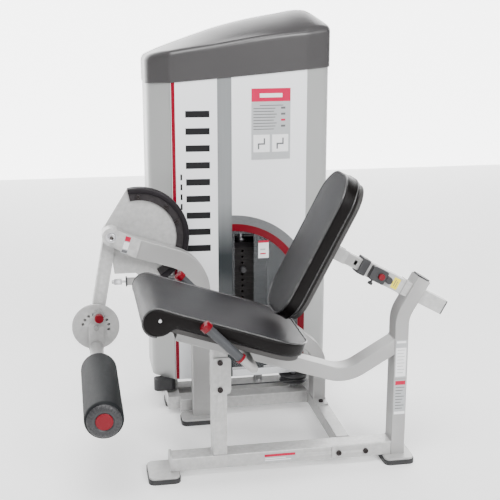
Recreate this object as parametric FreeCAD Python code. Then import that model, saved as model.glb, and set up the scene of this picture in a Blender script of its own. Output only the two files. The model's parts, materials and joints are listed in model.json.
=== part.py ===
"""Selectorized leg extension machine, in millimetres.

Frame: +Z up, origin on the floor under the middle of the machine. The user faces -X, and the weight
tower stands on the +Y side. The seat frame and the tower both stand on the same steel base.
"""
import FreeCAD, Part
import math
import os

os.makedirs("parts", exist_ok=True)
V = FreeCAD.Vector

# ---------------------------------------------------------------- driving dimensions
TUBE_THIN = 52.0            # small side of the 2 x 3 inch frame tube
TUBE_WIDE = 76.0            # large side of the same tube
WALL = 3.0
EDGE_R = 4.0                # rounded long edges of the tubes

FOOT_RUBBER = 18.0
FOOT_PLATE = 8.0
BASE_Z0 = FOOT_RUBBER + FOOT_PLATE
BASE_Z1 = BASE_Z0 + TUBE_THIN

SEAT_FRAME_Y = -320.0       # middle plane of the seat frame
SEAT_Y0 = SEAT_FRAME_Y - TUBE_WIDE / 2
SEAT_Y1 = SEAT_FRAME_Y + TUBE_WIDE / 2
POST_X = -168.0
UPRIGHT_X = 507.0
BEAM_X0 = -344.0
UPRIGHT_LEAN = 30.0         # degrees from vertical, above the bend
UPRIGHT_BEND_Z = 569.0
UPRIGHT_TOP = 155.0         # length above the bend

CROSS_X = 314.0             # middle of the beam that joins the seat frame and the tower
ARM_Y0 = 129.0              # pivot arm, near face
ARM_Y1 = ARM_Y0 + TUBE_THIN
ARM_POST_X = -168.0
REAR_BEAM_Y0 = ARM_Y1 + 1.0
BRIDGE_Y0 = 75.0

PIVOT = (-515.0, 796.0)     # lever axis, X and Z
DISC = (-587.0, 419.0)      # index disc axis, X and Z
DISC_R = 94.0
LEVER_Y0 = 186.0
ROLLER_X = -588.0
ROLLER_Z = 338.0
ROLLER_R = 67.0
ROLLER_Y0 = -579.0
ROLLER_Y1 = -80.0
CAM = (-404.0, 774.0)       # centre of the cam's round rim
CAM_R = 200.0
CABLE_Y = 206.0             # plane of the cable from the cam to the floor pulleys
CABLE_R = 3.0

SEAT_TILT = 18.5            # the seat falls towards the back rest
SEAT_WIDTH = 450.0
BACK_TILT = 27.5            # back pad, from vertical
BACK_WIDTH = 275.0
SLEEVE_TILT = 28.9

TOWER_X0 = -350.0
TOWER_X1 = 383.0
TOWER_Y1 = 600.0
TOWER_FRONT_Y = 246.0
SHROUD_Z0 = 140.0
SHROUD_T = 3.0
CAP_SLOPE = 0.0811          # the shroud's top edge rises towards +X
CAP_Z_AT_X0 = 1374.0
STACK_X = 30.0
STACK_Y = 350.0
STACK_W = 215.0
STACK_D = 100.0
PLATE_H = 24.0
PLATE_GAP = 1.0
LOWER_PLATES = 17
LIFTED_PLATES = 4
STACK_Z0 = 160.0
ROD_SPACING = 150.0
ROD_R = 9.5
TOWER_POST_X = (-274.0, 314.0)


# ---------------------------------------------------------------- small tools
def box(x0, x1, y0, y1, z0, z1):
    return Part.makeBox(x1 - x0, y1 - y0, z1 - z0, V(x0, y0, z0))


def rod(r, start, end):
    a = V(*start)
    b = V(*end)
    return Part.makeCylinder(r, (b - a).Length, a, b - a)


def rod_y(r, x, z, y0, y1):
    return rod(r, (x, y0, z), (x, y1, z))


def rod_z(r, x, y, z0, z1):
    return rod(r, (x, y, z0), (x, y, z1))


def ring_y(r_out, r_in, x, z, y0, y1):
    return rod_y(r_out, x, z, y0, y1).cut(rod_y(r_in, x, z, y0 - 1, y1 + 1))


def group(shapes):
    return Part.makeCompound(shapes)


def tilt(shape, centre, angle):
    """Turns a shape about the +Y direction through centre (X, Z), in degrees."""
    turned = shape.copy()
    turned.rotate(V(centre[0], 0, centre[1]), V(0, 1, 0), angle)
    return turned


def round_edges(shape, radius, direction):
    """Rounds every straight edge that runs along direction."""
    d = V(*direction)
    picked = []
    for edge in shape.Edges:
        if edge.Curve.TypeId != "Part::GeomLine":
            continue
        if edge.tangentAt(edge.FirstParameter).cross(d).Length < 1e-6:
            picked.append(edge)
    return shape.makeFillet(radius, picked)


def straight_tube(x0, x1, y0, y1, z0, z1, along, wall=WALL, radius=EDGE_R):
    """A rectangular tube, open at both ends, that runs along 'x', 'y' or 'z'."""
    direction = {"x": (1, 0, 0), "y": (0, 1, 0), "z": (0, 0, 1)}[along]
    outer = round_edges(box(x0, x1, y0, y1, z0, z1), radius, direction)
    grow = [0 if axis == along else wall for axis in "xyz"]
    inner = box(x0 + grow[0], x1 - grow[0], y0 + grow[1], y1 - grow[1], z0 + grow[2], z1 - grow[2])
    return outer.cut(inner)


def bend_data(points, radii):
    """Tangent points and centre of each rounded corner of a path in the XZ plane."""
    bends = []
    for before, corner, after, radius in zip(points, points[1:], points[2:], radii):
        a = V(before[0], 0, before[1])
        b = V(corner[0], 0, corner[1])
        c = V(after[0], 0, after[1])
        d_in = (b - a).normalize()
        d_out = (c - b).normalize()
        turn = math.acos(max(-1.0, min(1.0, d_in.dot(d_out))))
        reach = radius * math.tan(turn / 2)
        side = 1 if d_in.cross(d_out).y < 0 else -1
        normal = V(-d_in.z, 0, d_in.x) * side
        bends.append((b - d_in * reach, b + d_out * reach, b - d_in * reach + normal * radius, b, side))
    return bends


def side_edges(points, radii, offset):
    """Lines and arcs of the path's parallel curve, offset to its left."""
    start = V(points[0][0], 0, points[0][1])
    end = V(points[-1][0], 0, points[-1][1])
    bends = bend_data(points, radii)
    stops = [start]
    for bend in bends:
        stops += [bend[0], bend[1]]
    stops.append(end)
    edges = []
    for i in range(0, len(stops), 2):
        d = (stops[i + 1] - stops[i]).normalize()
        shift = V(-d.z, 0, d.x) * offset
        edges.append(Part.makeLine(stops[i] + shift, stops[i + 1] + shift))
        if i // 2 < len(bends):
            t_in, t_out, centre, corner, side = bends[i // 2]
            radius = (t_in - centre).Length
            middle = centre + (corner - centre).normalize() * (radius - offset * side)
            d_out = (stops[i + 3] - stops[i + 2]).normalize()
            arc_end = t_out + V(-d_out.z, 0, d_out.x) * offset
            edges.append(Part.Arc(stops[i + 1] + shift, middle, arc_end).toShape())
    return edges


def bent_bar(points, radii, height, y0, y1):
    """A solid bar of constant height that follows a path in the XZ plane."""
    left = side_edges(points, radii, height / 2)
    right = side_edges(points, radii, -height / 2)
    last_left = left[-1].valueAt(left[-1].LastParameter)
    last_right = right[-1].valueAt(right[-1].LastParameter)
    first_left = left[0].valueAt(left[0].FirstParameter)
    first_right = right[0].valueAt(right[0].FirstParameter)
    ends = [Part.makeLine(last_left, last_right), Part.makeLine(first_right, first_left)]
    wire = Part.Wire(Part.__sortEdges__(left + right + ends))
    wire.translate(V(0, y0, 0))
    return Part.Face(wire).extrude(V(0, y1 - y0, 0))


def bent_tube(points, radii, height, y0, y1, wall=WALL, radius=EDGE_R):
    outer = bent_bar(points, radii, height, y0, y1)
    long_edges = []
    for edge in outer.Edges:
        flat = edge.BoundBox.YLength < 1e-6
        is_end = edge.Curve.TypeId == "Part::GeomLine" and abs(edge.Length - height) < 1e-3
        if flat and not is_end:
            long_edges.append(edge)
    outer = outer.makeFillet(radius, long_edges)
    inner = bent_bar(points, radii, height - 2 * wall, y0 + wall, y1 - wall)
    return outer.cut(inner)


def polygon_y(points, y0, y1):
    """A plate with an outline of straight lines in the XZ plane."""
    closed = [V(x, y0, z) for x, z in points]
    return Part.Face(Part.makePolygon(closed + closed[:1])).extrude(V(0, y1 - y0, 0))


def round_path(points, radius_of):
    """A wire of straight runs joined by tangent arcs through 3-D points."""
    corners = [V(*p) for p in points]
    edges = []
    last = corners[0]
    for before, corner, after, radius in zip(corners, corners[1:], corners[2:], radius_of):
        d_in = (corner - before).normalize()
        d_out = (after - corner).normalize()
        turn = d_in.getAngle(d_out)
        reach = radius * math.tan(turn / 2)
        t_in = corner - d_in * reach
        t_out = corner + d_out * reach
        inward = (d_out - d_in).normalize()
        centre = corner + inward * (radius / math.cos(turn / 2))
        edges.append(Part.LineSegment(last, t_in).toShape())
        edges.append(Part.Arc(t_in, centre - inward * radius, t_out).toShape())
        last = t_out
    edges.append(Part.LineSegment(last, corners[-1]).toShape())
    return Part.Wire(edges)


def sweep_round(wire, radius):
    """A round bar along a wire."""
    first = wire.Edges[0]
    start = first.valueAt(first.FirstParameter)
    direction = first.tangentAt(first.FirstParameter)
    profile = Part.Wire(Part.Circle(start, direction, radius).toShape())
    return wire.makePipeShell([profile], True, False)


def sweep_tube(wire, radius, wall):
    return sweep_round(wire, radius).cut(sweep_round(wire, radius - wall))


def hex_bolt(head_r, head_h, shank_r, length, seat, outward):
    """A round socket head bolt. seat is the point under its head, outward its direction."""
    s = V(*seat)
    d = V(*outward)
    head = Part.makeCylinder(head_r, head_h, s, d)
    outer_rim = [e for e in head.Edges if e.CenterOfMass.distanceToPoint(s) > head_h * 0.9]
    head = head.makeFillet(head_h * 0.25, outer_rim)
    socket = Part.makeCylinder(head_r * 0.45, head_h * 0.6, s + d * (head_h * 0.45), d)
    shank = Part.makeCylinder(shank_r, length, s, d * -1)
    return head.cut(socket).fuse(shank)


def slab(x0, x1, y0, y1, z0, z1, corner):
    return round_edges(box(x0, x1, y0, y1, z0, z1), corner, (0, 0, 1))


# ---------------------------------------------------------------- seat side frame
def near_base_beam():
    beam = straight_tube(BEAM_X0, UPRIGHT_X - TUBE_THIN / 2, SEAT_Y0, SEAT_Y1, BASE_Z0, BASE_Z1, "x")
    for x in (276.0, 379.0):
        beam = beam.cut(rod_y(6.2, x, 52, SEAT_Y0 - 1, SEAT_Y1 + 1))
    return beam


def beam_end_gusset():
    """The curved plate that closes the beam's free end and ties it to the foot."""
    arc = Part.Arc(V(BEAM_X0 - 8, SEAT_Y0, BASE_Z0), V(BEAM_X0 - 8, SEAT_FRAME_Y, BASE_Z1 + 18),
                   V(BEAM_X0 - 8, SEAT_Y1, BASE_Z0)).toShape()
    base = Part.makeLine(V(BEAM_X0 - 8, SEAT_Y1, BASE_Z0), V(BEAM_X0 - 8, SEAT_Y0, BASE_Z0))
    return Part.Face(Part.Wire([arc, base])).extrude(V(8, 0, 0))


FRONT_POST_TOP = 497.0


def front_post():
    tube = straight_tube(POST_X - TUBE_THIN / 2, POST_X + TUBE_THIN / 2, SEAT_Y0 + 2, SEAT_Y1 - 2,
                         BASE_Z1, FRONT_POST_TOP + 40, "z")
    tube = tube.cut(rail_envelope(0.0))
    above = polygon_y([(POST_X - 60, seat_rail_z(POST_X - 60)), (POST_X + 60, seat_rail_z(POST_X + 60)),
                       (POST_X + 60, 900), (POST_X - 60, 900)], SEAT_Y0 - 5, SEAT_Y1 + 5)
    tube = tube.cut(above)
    for z in (334.0, 437.0):
        tube = tube.cut(rod_y(6.2, POST_X, z, SEAT_Y0 - 1, SEAT_Y1 + 1))
    return tube


def post_bracket():
    """Two cheek plates, each with a rounded rear edge, clamped on the front post."""
    plates = []
    for y0, y1 in ((SEAT_Y0 - 3, SEAT_Y0 + 2), (SEAT_Y1 - 2, SEAT_Y1 + 3)):
        plate = box(POST_X - 28, POST_X + 40, y0, y1, 316, 454)
        plate = round_edges(plate, 14, (0, 1, 0))
        for z in (334.0, 437.0):
            plate = plate.cut(rod_y(6.2, POST_X, z, y0 - 1, y1 + 1))
        plates.append(plate)
    return group(plates)


def bracket_bolts():
    bolts = []
    for z in (334.0, 437.0):
        bolts.append(hex_bolt(10, 8, 6, TUBE_WIDE + 16, (POST_X, SEAT_Y0 - 3, z), (0, -1, 0)))
    return group(bolts)


def upright_path():
    lean = math.radians(UPRIGHT_LEAN)
    top = (UPRIGHT_X + UPRIGHT_TOP * math.sin(lean), UPRIGHT_BEND_Z + UPRIGHT_TOP * math.cos(lean))
    return [(UPRIGHT_X, BASE_Z0), (UPRIGHT_X, UPRIGHT_BEND_Z), top]


def sleeve_frame(shape):
    """Places a shape drawn along +X at the sleeve's centre line."""
    return tilt(shape, (0, 0), SLEEVE_TILT)


SLEEVE_N = 837.6            # distance of the sleeve's centre line from the origin
SLEEVE_S0 = -39.0
SLEEVE_S1 = 296.0
SLEEVE_SIZE = 55.0
INNER_SIZE = 44.0
BUTTON_S = 12.0


def sleeve_box(s0, s1, half_y, n0, n1):
    """A box along the sleeve: s along it, n from its centre line, symmetric about the seat plane."""
    y0 = SEAT_FRAME_Y - half_y
    y1 = SEAT_FRAME_Y + half_y
    return sleeve_frame(box(s0, s1, y0, y1, SLEEVE_N + n0, SLEEVE_N + n1))


def rear_upright():
    tube = bent_tube(upright_path(), [120.0], TUBE_THIN, SEAT_Y0, SEAT_Y1)
    half = SLEEVE_SIZE / 2
    return tube.cut(sleeve_box(SLEEVE_S0, SLEEVE_S1, half, -half, half))


def upright_cap():
    """The oval plastic plug in the upright's open top."""
    lean = math.radians(UPRIGHT_LEAN)
    top = upright_path()[-1]
    cap = round_edges(box(top[0] - 26, top[0] + 26, SEAT_Y0, SEAT_Y1, top[1], top[1] + 6), 20, (0, 0, 1))
    plug = box(top[0] - 22, top[0] + 22, SEAT_Y0 + 4, SEAT_Y1 - 4, top[1] - 12, top[1])
    return tilt(cap.fuse(plug), top, math.degrees(lean))


def back_sleeve():
    half = SLEEVE_SIZE / 2
    y0 = SEAT_FRAME_Y - half
    y1 = SEAT_FRAME_Y + half
    outer = box(SLEEVE_S0, SLEEVE_S1, y0, y1, SLEEVE_N - half, SLEEVE_N + half)
    outer = round_edges(outer, 3, (1, 0, 0))
    bore = half - 4.5
    inner = box(SLEEVE_S0 - 1, SLEEVE_S1 + 1, SEAT_FRAME_Y - bore, SEAT_FRAME_Y + bore,
                SLEEVE_N - bore, SLEEVE_N + bore)
    pin_hole = rod_y(8.2, BUTTON_S, SLEEVE_N, SEAT_FRAME_Y - half - 1, SEAT_FRAME_Y - bore + 1)
    return sleeve_frame(outer.cut(inner).cut(pin_hole))


def sleeve_cap():
    half = SLEEVE_SIZE / 2
    plug = box(SLEEVE_S1 - 12, SLEEVE_S1, SEAT_FRAME_Y - half + 5, SEAT_FRAME_Y + half - 5,
               SLEEVE_N - half + 5, SLEEVE_N + half - 5)
    lid = round_edges(box(SLEEVE_S1, SLEEVE_S1 + 5, SEAT_FRAME_Y - half, SEAT_FRAME_Y + half,
                          SLEEVE_N - half, SLEEVE_N + half), 4, (1, 0, 0))
    return sleeve_frame(lid.fuse(plug))


def sleeve_bushing():
    """The plastic collar in the sleeve's mouth that guides the sliding tube."""
    half = SLEEVE_SIZE / 2 + 3
    bore = INNER_SIZE / 2 + 0.4
    collar = round_edges(box(-69, SLEEVE_S0, SEAT_FRAME_Y - half, SEAT_FRAME_Y + half,
                             SLEEVE_N - half, SLEEVE_N + half), 6, (1, 0, 0))
    return sleeve_frame(collar.cut(box(-80, 0, SEAT_FRAME_Y - bore, SEAT_FRAME_Y + bore,
                                       SLEEVE_N - bore, SLEEVE_N + bore)))


BLOCK_Y1 = SEAT_FRAME_Y - SLEEVE_SIZE / 2
BLOCK_Y0 = BLOCK_Y1 - 26


def adjuster_block():
    """The plastic housing of the back pad's push button, on the near face of the sleeve."""
    body = box(BUTTON_S - 41, BUTTON_S + 21, BLOCK_Y0, BLOCK_Y1, SLEEVE_N - 26, SLEEVE_N + 26)
    body = round_edges(body, 8, (0, 1, 0))
    return sleeve_frame(body.cut(rod_y(12.3, BUTTON_S, SLEEVE_N, BLOCK_Y0 - 1, BLOCK_Y1 + 1)))


def back_button():
    head = rod_y(12, BUTTON_S, SLEEVE_N, BLOCK_Y0 - 9, BLOCK_Y1 - 8)
    pin = rod_y(8, BUTTON_S, SLEEVE_N, BLOCK_Y1 - 8, BLOCK_Y1)
    head = head.makeFillet(2, [e for e in head.Edges if e.CenterOfMass.y < BLOCK_Y0 - 8])
    return sleeve_frame(head.fuse(pin))


def clamp_thumbscrew():
    s = BUTTON_S - 21
    y = BLOCK_Y1 - 13
    stem = rod(4, (s, y, SLEEVE_N - 34), (s, y, SLEEVE_N - 26.3))
    knob = rod(9, (s, y, SLEEVE_N - 44), (s, y, SLEEVE_N - 34))
    return sleeve_frame(stem.fuse(knob))


def end_stop():
    """The round black bumper at the rear of the adjuster block."""
    return sleeve_frame(rod_y(13, BUTTON_S + 36, SLEEVE_N, BLOCK_Y0 + 2, BLOCK_Y1))


INNER_S0 = -178.0
INNER_S1 = 150.0
HOLE_PITCH = 25.0           # adjustment holes of the sliding tube


def inner_tube():
    half = INNER_SIZE / 2
    outer = round_edges(box(INNER_S0, INNER_S1, SEAT_FRAME_Y - half, SEAT_FRAME_Y + half,
                            SLEEVE_N - half, SLEEVE_N + half), 4, (1, 0, 0))
    bore = half - 3
    outer = outer.cut(box(INNER_S0 - 1, INNER_S1 + 1, SEAT_FRAME_Y - bore, SEAT_FRAME_Y + bore,
                          SLEEVE_N - bore, SLEEVE_N + bore))
    for s in (BUTTON_S + HOLE_PITCH * k for k in range(-4, 6)):
        outer = outer.cut(box(s - 6, s + 6, SEAT_FRAME_Y - half - 1, SEAT_FRAME_Y - bore + 1,
                              SLEEVE_N - 9, SLEEVE_N + 9))
    return sleeve_frame(outer)


RAIL_SLOPE = math.tan(math.radians(SEAT_TILT))
RAIL_AT = (126.0, 404.0)
RAIL_LEFT = -318.0
RAIL_END_Z = 452.0
RAIL_RISE = 0.585           # slope of the rail's rear half
SEAT_FRONT_X = -360.0


def seat_rail_z(x):
    """Height of the seat rail's centre line in its straight front half."""
    return RAIL_AT[1] - RAIL_SLOPE * (x - RAIL_AT[0])


def rail_points(left=RAIL_LEFT, right=UPRIGHT_X - TUBE_THIN / 2):
    low_x = (seat_rail_z(0) - RAIL_END_Z + RAIL_RISE * 481.0) / (RAIL_RISE + RAIL_SLOPE)
    return [(left, seat_rail_z(left)), (low_x, seat_rail_z(low_x)),
            (right, RAIL_END_Z + RAIL_RISE * (right - 481.0))]


def rail_envelope(extra):
    return bent_bar(rail_points(), [140.0], TUBE_THIN + extra, SEAT_Y0 - extra, SEAT_Y1 + extra)


def seat_rail():
    rail = bent_tube(rail_points(right=540.0), [140.0], TUBE_THIN, SEAT_Y0, SEAT_Y1)
    rail = rail.cut(box(UPRIGHT_X - TUBE_THIN / 2, 600, SEAT_Y0 - 5, SEAT_Y1 + 5, 300, 600))
    return rail


def on_seat(u, v):
    """A point at u down the slope from the seat's front and v above the pad's top plane."""
    a = math.radians(SEAT_TILT)
    top = (SEAT_FRONT_X, 697.0)
    return (top[0] + u * math.cos(a) + v * math.sin(a), top[1] - u * math.sin(a) + v * math.cos(a))


def seat_local(shape):
    """Places a shape drawn with +X down the slope and its top plane at Z 0 on the tilted seat."""
    placed = shape.copy()
    placed.rotate(V(0, 0, 0), V(0, 1, 0), SEAT_TILT)
    placed.translate(V(SEAT_FRONT_X, SEAT_FRAME_Y, 697.0))
    return placed


SEAT_LENGTH = 515.0
PAD_T = 54.0
BOARD_T = 16.0
ROLL_R = 52.0


def seat_plan(u0, grow, z0, z1):
    """The seat's outline: square at the front, rounded corners at the rear."""
    half = SEAT_WIDTH / 2 + grow
    length = SEAT_LENGTH + grow
    slab_shape = box(u0, length, -half, half, z0, z1)
    upright = [e for e in slab_shape.Edges if e.BoundBox.ZLength > 1e-3 and e.BoundBox.YLength < 1e-3]
    rear = [e for e in upright if abs(e.CenterOfMass.x - length) < 1e-6]
    return slab_shape.makeFillet(120, rear)


def seat_pad():
    """The padded seat with its rolled front edge."""
    half = SEAT_WIDTH / 2
    cushion = seat_plan(-20, 0, -PAD_T, 0)
    roll = Part.makeCylinder(ROLL_R, SEAT_WIDTH, V(-28, -half, -ROLL_R + 2), V(0, 1, 0))
    pad = cushion.fuse(roll)
    board = box(10, SEAT_LENGTH + 20, -half - 5, half + 5, -PAD_T - BOARD_T - 20, -PAD_T)
    return seat_local(pad.cut(board).removeSplitter())


def seat_board():
    return seat_local(seat_plan(24, -8, -PAD_T - BOARD_T, -PAD_T))


def seat_mounts():
    """Two folded steel saddles between the rail and the seat board."""
    saddles = []
    top = -PAD_T - BOARD_T
    rail_top = rail_gap()
    for u in (90.0, 360.0):
        block = box(u, u + 60, -60, 60, top - rail_top, top)
        hollow = box(u - 1, u + 61, -56, 56, top - rail_top + 4, top - 4)
        saddles.append(seat_local(block.cut(hollow)))
    return group(saddles)


def rail_gap():
    """Distance between the rail's top face and the board's underside."""
    a = math.radians(SEAT_TILT)
    board = on_seat(100, -PAD_T - BOARD_T)
    centre = seat_rail_z(board[0])
    return (board[1] - centre) * math.cos(a) - TUBE_THIN / 2


def back_local(shape):
    """Places a shape drawn upright, front face at X 0 towards -X, on the reclined back rest."""
    placed = shape.copy()
    placed.rotate(V(0, 0, 0), V(0, 1, 0), BACK_TILT)
    placed.translate(V(66.0, SEAT_FRAME_Y, 690.0))
    return placed


BACK_LOW = -88.0
BACK_HIGH = 462.0
BACK_T = 62.0
BACK_CORNER = 104.0


def back_plan(x0, x1, grow):
    half = BACK_WIDTH / 2 + grow
    pad = box(x0, x1, -half, half, BACK_LOW - grow, BACK_HIGH + grow)
    return round_edges(pad, BACK_CORNER + grow, (1, 0, 0))


def back_pad():
    return back_local(back_plan(-4, BACK_T - 4, 0))


def back_board():
    return back_local(back_plan(BACK_T - 4, BACK_T + 10, -10))


def back_bracket():
    """The steel channel that joins the back board to the sliding tube."""
    u_low = 70.0
    plate = box(BACK_T + 10, BACK_T + 16, -50, 50, u_low, u_low + 170)
    placed = back_local(plate)
    cheeks = []
    for y in (SEAT_FRAME_Y - INNER_SIZE / 2 - 5, SEAT_FRAME_Y + INNER_SIZE / 2):
        cheek = sleeve_frame(box(-260, -128, y, y + 5, SLEEVE_N - 24, SLEEVE_N + 24))
        beyond = back_local(box(-400, BACK_T + 16, -200, 200, -400, 600))
        cheeks.append(cheek.cut(beyond))
    return placed.fuse(cheeks[0]).fuse(cheeks[1])


def trimmed_inner_tube():
    return inner_tube().cut(back_local(box(-400, BACK_T + 16, -200, 200, -400, 600)))


GRIP_TOP = (-250.0, 652.0)
GRIP_TOP_FAR = (-276.0, 682.0)
HANDLE_LOW = (-66.0, 478.0)
HANDLE_REACH = 260.0        # grip axis, sideways from the seat's middle
HANDLE_R = 13.0
GRIP_R = 16.0


def grip_top(side):
    return GRIP_TOP if side < 0 else GRIP_TOP_FAR


def handle_tube(side):
    top = grip_top(side)
    y_out = SEAT_FRAME_Y + side * HANDLE_REACH
    y_in = SEAT_FRAME_Y + side * TUBE_WIDE / 2
    points = [(top[0], y_out, top[1]), (HANDLE_LOW[0] - 12, y_out, HANDLE_LOW[1] - 1),
              (HANDLE_LOW[0] - 12, y_in, HANDLE_LOW[1] - 1)]
    return sweep_tube(round_path(points, [46.0]), HANDLE_R, 2.5)


def grip_axis(side):
    y = SEAT_FRAME_Y + side * HANDLE_REACH
    top = grip_top(side)
    a = V(top[0], y, top[1])
    b = V(HANDLE_LOW[0] - 12, y, HANDLE_LOW[1] - 1)
    return a, (b - a).normalize()


def grip_ring(side, start, length, r_out):
    a, d = grip_axis(side)
    outer = Part.makeCylinder(r_out, length, a + d * start, d)
    return outer.cut(Part.makeCylinder(HANDLE_R, length + 2, a + d * (start - 1), d))


def handle_grip(side):
    return grip_ring(side, 16, 150, GRIP_R)


def handle_rings(side):
    """The red end plug of the grip and the red collar at its lower end."""
    a, d = grip_axis(side)
    plug = Part.makeCylinder(20, 16, a, d).cut(Part.makeCylinder(HANDLE_R, 17, a, d))
    lid = Part.makeCylinder(20, 6, a - d * 6, d)
    lid = lid.makeFillet(4, [e for e in lid.Edges if (e.CenterOfMass - a).dot(d) < -5])
    return group([plug.fuse(lid), grip_ring(side, 166, 8, 18.5)])


# ---------------------------------------------------------------- base
def cross_beam():
    x0 = CROSS_X - TUBE_THIN / 2
    beam = straight_tube(x0, x0 + TUBE_THIN, SEAT_Y1, TOWER_Y1 - 30, BASE_Z0, BASE_Z1, "y")
    return beam


def beam_bracket():
    """The U bracket that bolts the cross beam to the near base beam."""
    plate = round_edges(box(250, 405, SEAT_Y0 - 5, SEAT_Y0, BASE_Z0 + 3, BASE_Z1 - 3), 6, (0, 1, 0))
    for x in (276.0, 379.0):
        plate = plate.cut(rod_y(6.2, x, 52, SEAT_Y0 - 6, SEAT_Y0 + 1))
    return plate


def beam_bolts():
    places = [(x, SEAT_Y0 - 5, 52) for x in (276.0, 379.0)]
    return group([hex_bolt(10, 8, 6, TUBE_WIDE + 14, place, (0, -1, 0)) for place in places])


def rear_beam():
    return straight_tube(-248, CROSS_X - TUBE_THIN / 2, REAR_BEAM_Y0, REAR_BEAM_Y0 + TUBE_WIDE,
                         BASE_Z0, BASE_Z1, "x")


def tower_left_beam():
    return straight_tube(-300, -248, REAR_BEAM_Y0 + 40, TOWER_Y1 - 30, BASE_Z0, BASE_Z1, "y")


def stack_beam():
    return straight_tube(-248, CROSS_X - TUBE_THIN / 2, STACK_Y - TUBE_WIDE / 2, STACK_Y + TUBE_WIDE / 2,
                         BASE_Z0, BASE_Z1, "x")


def end_plates():
    """Steel plates that close the open ends of the base beams."""
    y_end = TOWER_Y1 - 30
    left = REAR_BEAM_Y0 + 40
    return group([box(-252, -248, REAR_BEAM_Y0, left - 1, BASE_Z0, BASE_Z1),
                  box(-300, -252.5, left - 4, left, BASE_Z0, BASE_Z1),
                  box(-300, -248, y_end, y_end + 4, BASE_Z0, BASE_Z1),
                  box(CROSS_X - 26, CROSS_X + 26, y_end, y_end + 4, BASE_Z0, BASE_Z1)])


FEET = [(-430, -320, SEAT_Y0 - 39, SEAT_Y1 + 30), (450, 560, SEAT_Y0 - 39, SEAT_Y1 + 30),
        (-254, -110, ARM_Y0 - 39, ARM_Y1), (-300, -215, REAR_BEAM_Y0 + 118, REAR_BEAM_Y0 + 218),
        (-320, -230, TOWER_Y1 - 110, TOWER_Y1 - 4), (264, 364, TOWER_Y1 - 110, TOWER_Y1 - 4)]


def foot_plates():
    return group([slab(*foot, FOOT_RUBBER, BASE_Z0, 22) for foot in FEET])


def rubber_feet():
    """Rubber pads, a little larger than the plates above them."""
    pads = []
    for x0, x1, y0, y1 in FEET:
        pads.append(slab(x0 - 3, x1 + 3, y0 - 3, y1 + 3, 0, FOOT_RUBBER, 24))
    return group(pads)


def bridge_tube():
    """The curved tube that rises from the cross beam and runs behind the seat to the arm's post."""
    post_side = ARM_POST_X + TUBE_WIDE / 2 + 4
    points = [(CROSS_X - 2, BASE_Z1 + 6), (CROSS_X - 2, 285.0), (180.0, 395.0), (post_side, 440.0)]
    return bent_tube(points, [120.0, 100.0], TUBE_THIN, BRIDGE_Y0, BRIDGE_Y0 + TUBE_WIDE)


def bridge_plate():
    plate = slab(CROSS_X - 28, CROSS_X + 24, 20, BRIDGE_Y0 + TUBE_WIDE + 4, BASE_Z1, BASE_Z1 + 6, 8)
    return plate.cut(rod_z(6.2, CROSS_X - 2, 46, BASE_Z1 - 1, BASE_Z1 + 7))


def bridge_bolt():
    return hex_bolt(10, 8, 6, 5.5, (CROSS_X - 2, 46, BASE_Z1 + 6), (0, 0, 1))


# ---------------------------------------------------------------- pivot arm
def arm_path():
    return [(ARM_POST_X, BASE_Z0), (ARM_POST_X, 664.0), (-455.0, 757.0)]


def pivot_arm():
    """The 2 x 3 inch post that bends over towards the lever's axis."""
    return bent_tube(arm_path(), [150.0], TUBE_WIDE, ARM_Y0, ARM_Y1)


def arm_axis_angle():
    a, b = arm_path()[1:]
    return math.atan2(b[1] - a[1], b[0] - a[0])


def arm_boss():
    """The tapered plate and tube on the arm's end that hold the lever's shaft."""
    end = arm_path()[-1]
    a = arm_axis_angle()
    n = (math.cos(a + math.pi / 2), math.sin(a + math.pi / 2))
    d = (math.cos(a), math.sin(a))
    back = 46.0
    corners = [(end[0] - d[0] * back + n[0] * k, end[1] - d[1] * back + n[1] * k) for k in (38.0, -38.0)]
    tips = [(PIVOT[0] + n[0] * k, PIVOT[1] + n[1] * k) for k in (-34.0, 34.0)]
    near = polygon_y(corners + tips, ARM_Y0 - 6, ARM_Y0).fuse(rod_y(36, *PIVOT, ARM_Y0 - 6, ARM_Y0))
    body_tips = [(end[0] + n[0] * k, end[1] + n[1] * k) for k in (37.0, -37.0)]
    body = polygon_y(body_tips + tips, ARM_Y0, ARM_Y1).fuse(rod_y(36, *PIVOT, ARM_Y0, ARM_Y1))
    shape = near.fuse(body).removeSplitter()
    return shape.cut(rod_y(12.5, *PIVOT, ARM_Y0 - 10, ARM_Y1 + 10))


def pivot_shaft():
    shaft = rod_y(12.45, *PIVOT, ARM_Y0 - 6, 246)
    washer = rod_y(22, *PIVOT, ARM_Y0 - 10, ARM_Y0 - 6)
    retainer = rod_y(22, *PIVOT, 246, 252)
    return shaft.fuse(washer).fuse(retainer)


def pivot_bolt():
    return hex_bolt(13, 9, 8, 0.5, (PIVOT[0], ARM_Y0 - 10, PIVOT[1]), (0, -1, 0))


# ---------------------------------------------------------------- lever
HUB_Y1 = 242.0


def lever_angle():
    return math.degrees(math.atan2(PIVOT[0] - DISC[0], PIVOT[1] - DISC[1]))


def along_lever(shape):
    """Turns a shape drawn hanging straight down from the pivot into the lever's direction."""
    return tilt(shape, PIVOT, lever_angle())


def lever_length():
    return math.hypot(PIVOT[0] - DISC[0], PIVOT[1] - DISC[1])


def lever_arm():
    x = PIVOT[0]
    z = PIVOT[1]
    low = z - lever_length() - 42
    tube = straight_tube(x - 26, x + 26, LEVER_Y0, LEVER_Y0 + TUBE_THIN, low, z - 10, "z")
    tube = along_lever(tube)
    tube = tube.cut(rod_y(33, *PIVOT, LEVER_Y0 - 1, HUB_Y1 + 1))
    return tube.cut(rod_y(11, *DISC, LEVER_Y0 - 1, LEVER_Y0 + 60))


def lever_hub():
    return ring_y(33, 12.5, *PIVOT, ARM_Y1 + 1.5, HUB_Y1)


def rim_point(angle, radius=CAM_R):
    a = math.radians(angle)
    return (CAM[0] + radius * math.cos(a), CAM[1] + radius * math.sin(a))


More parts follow.
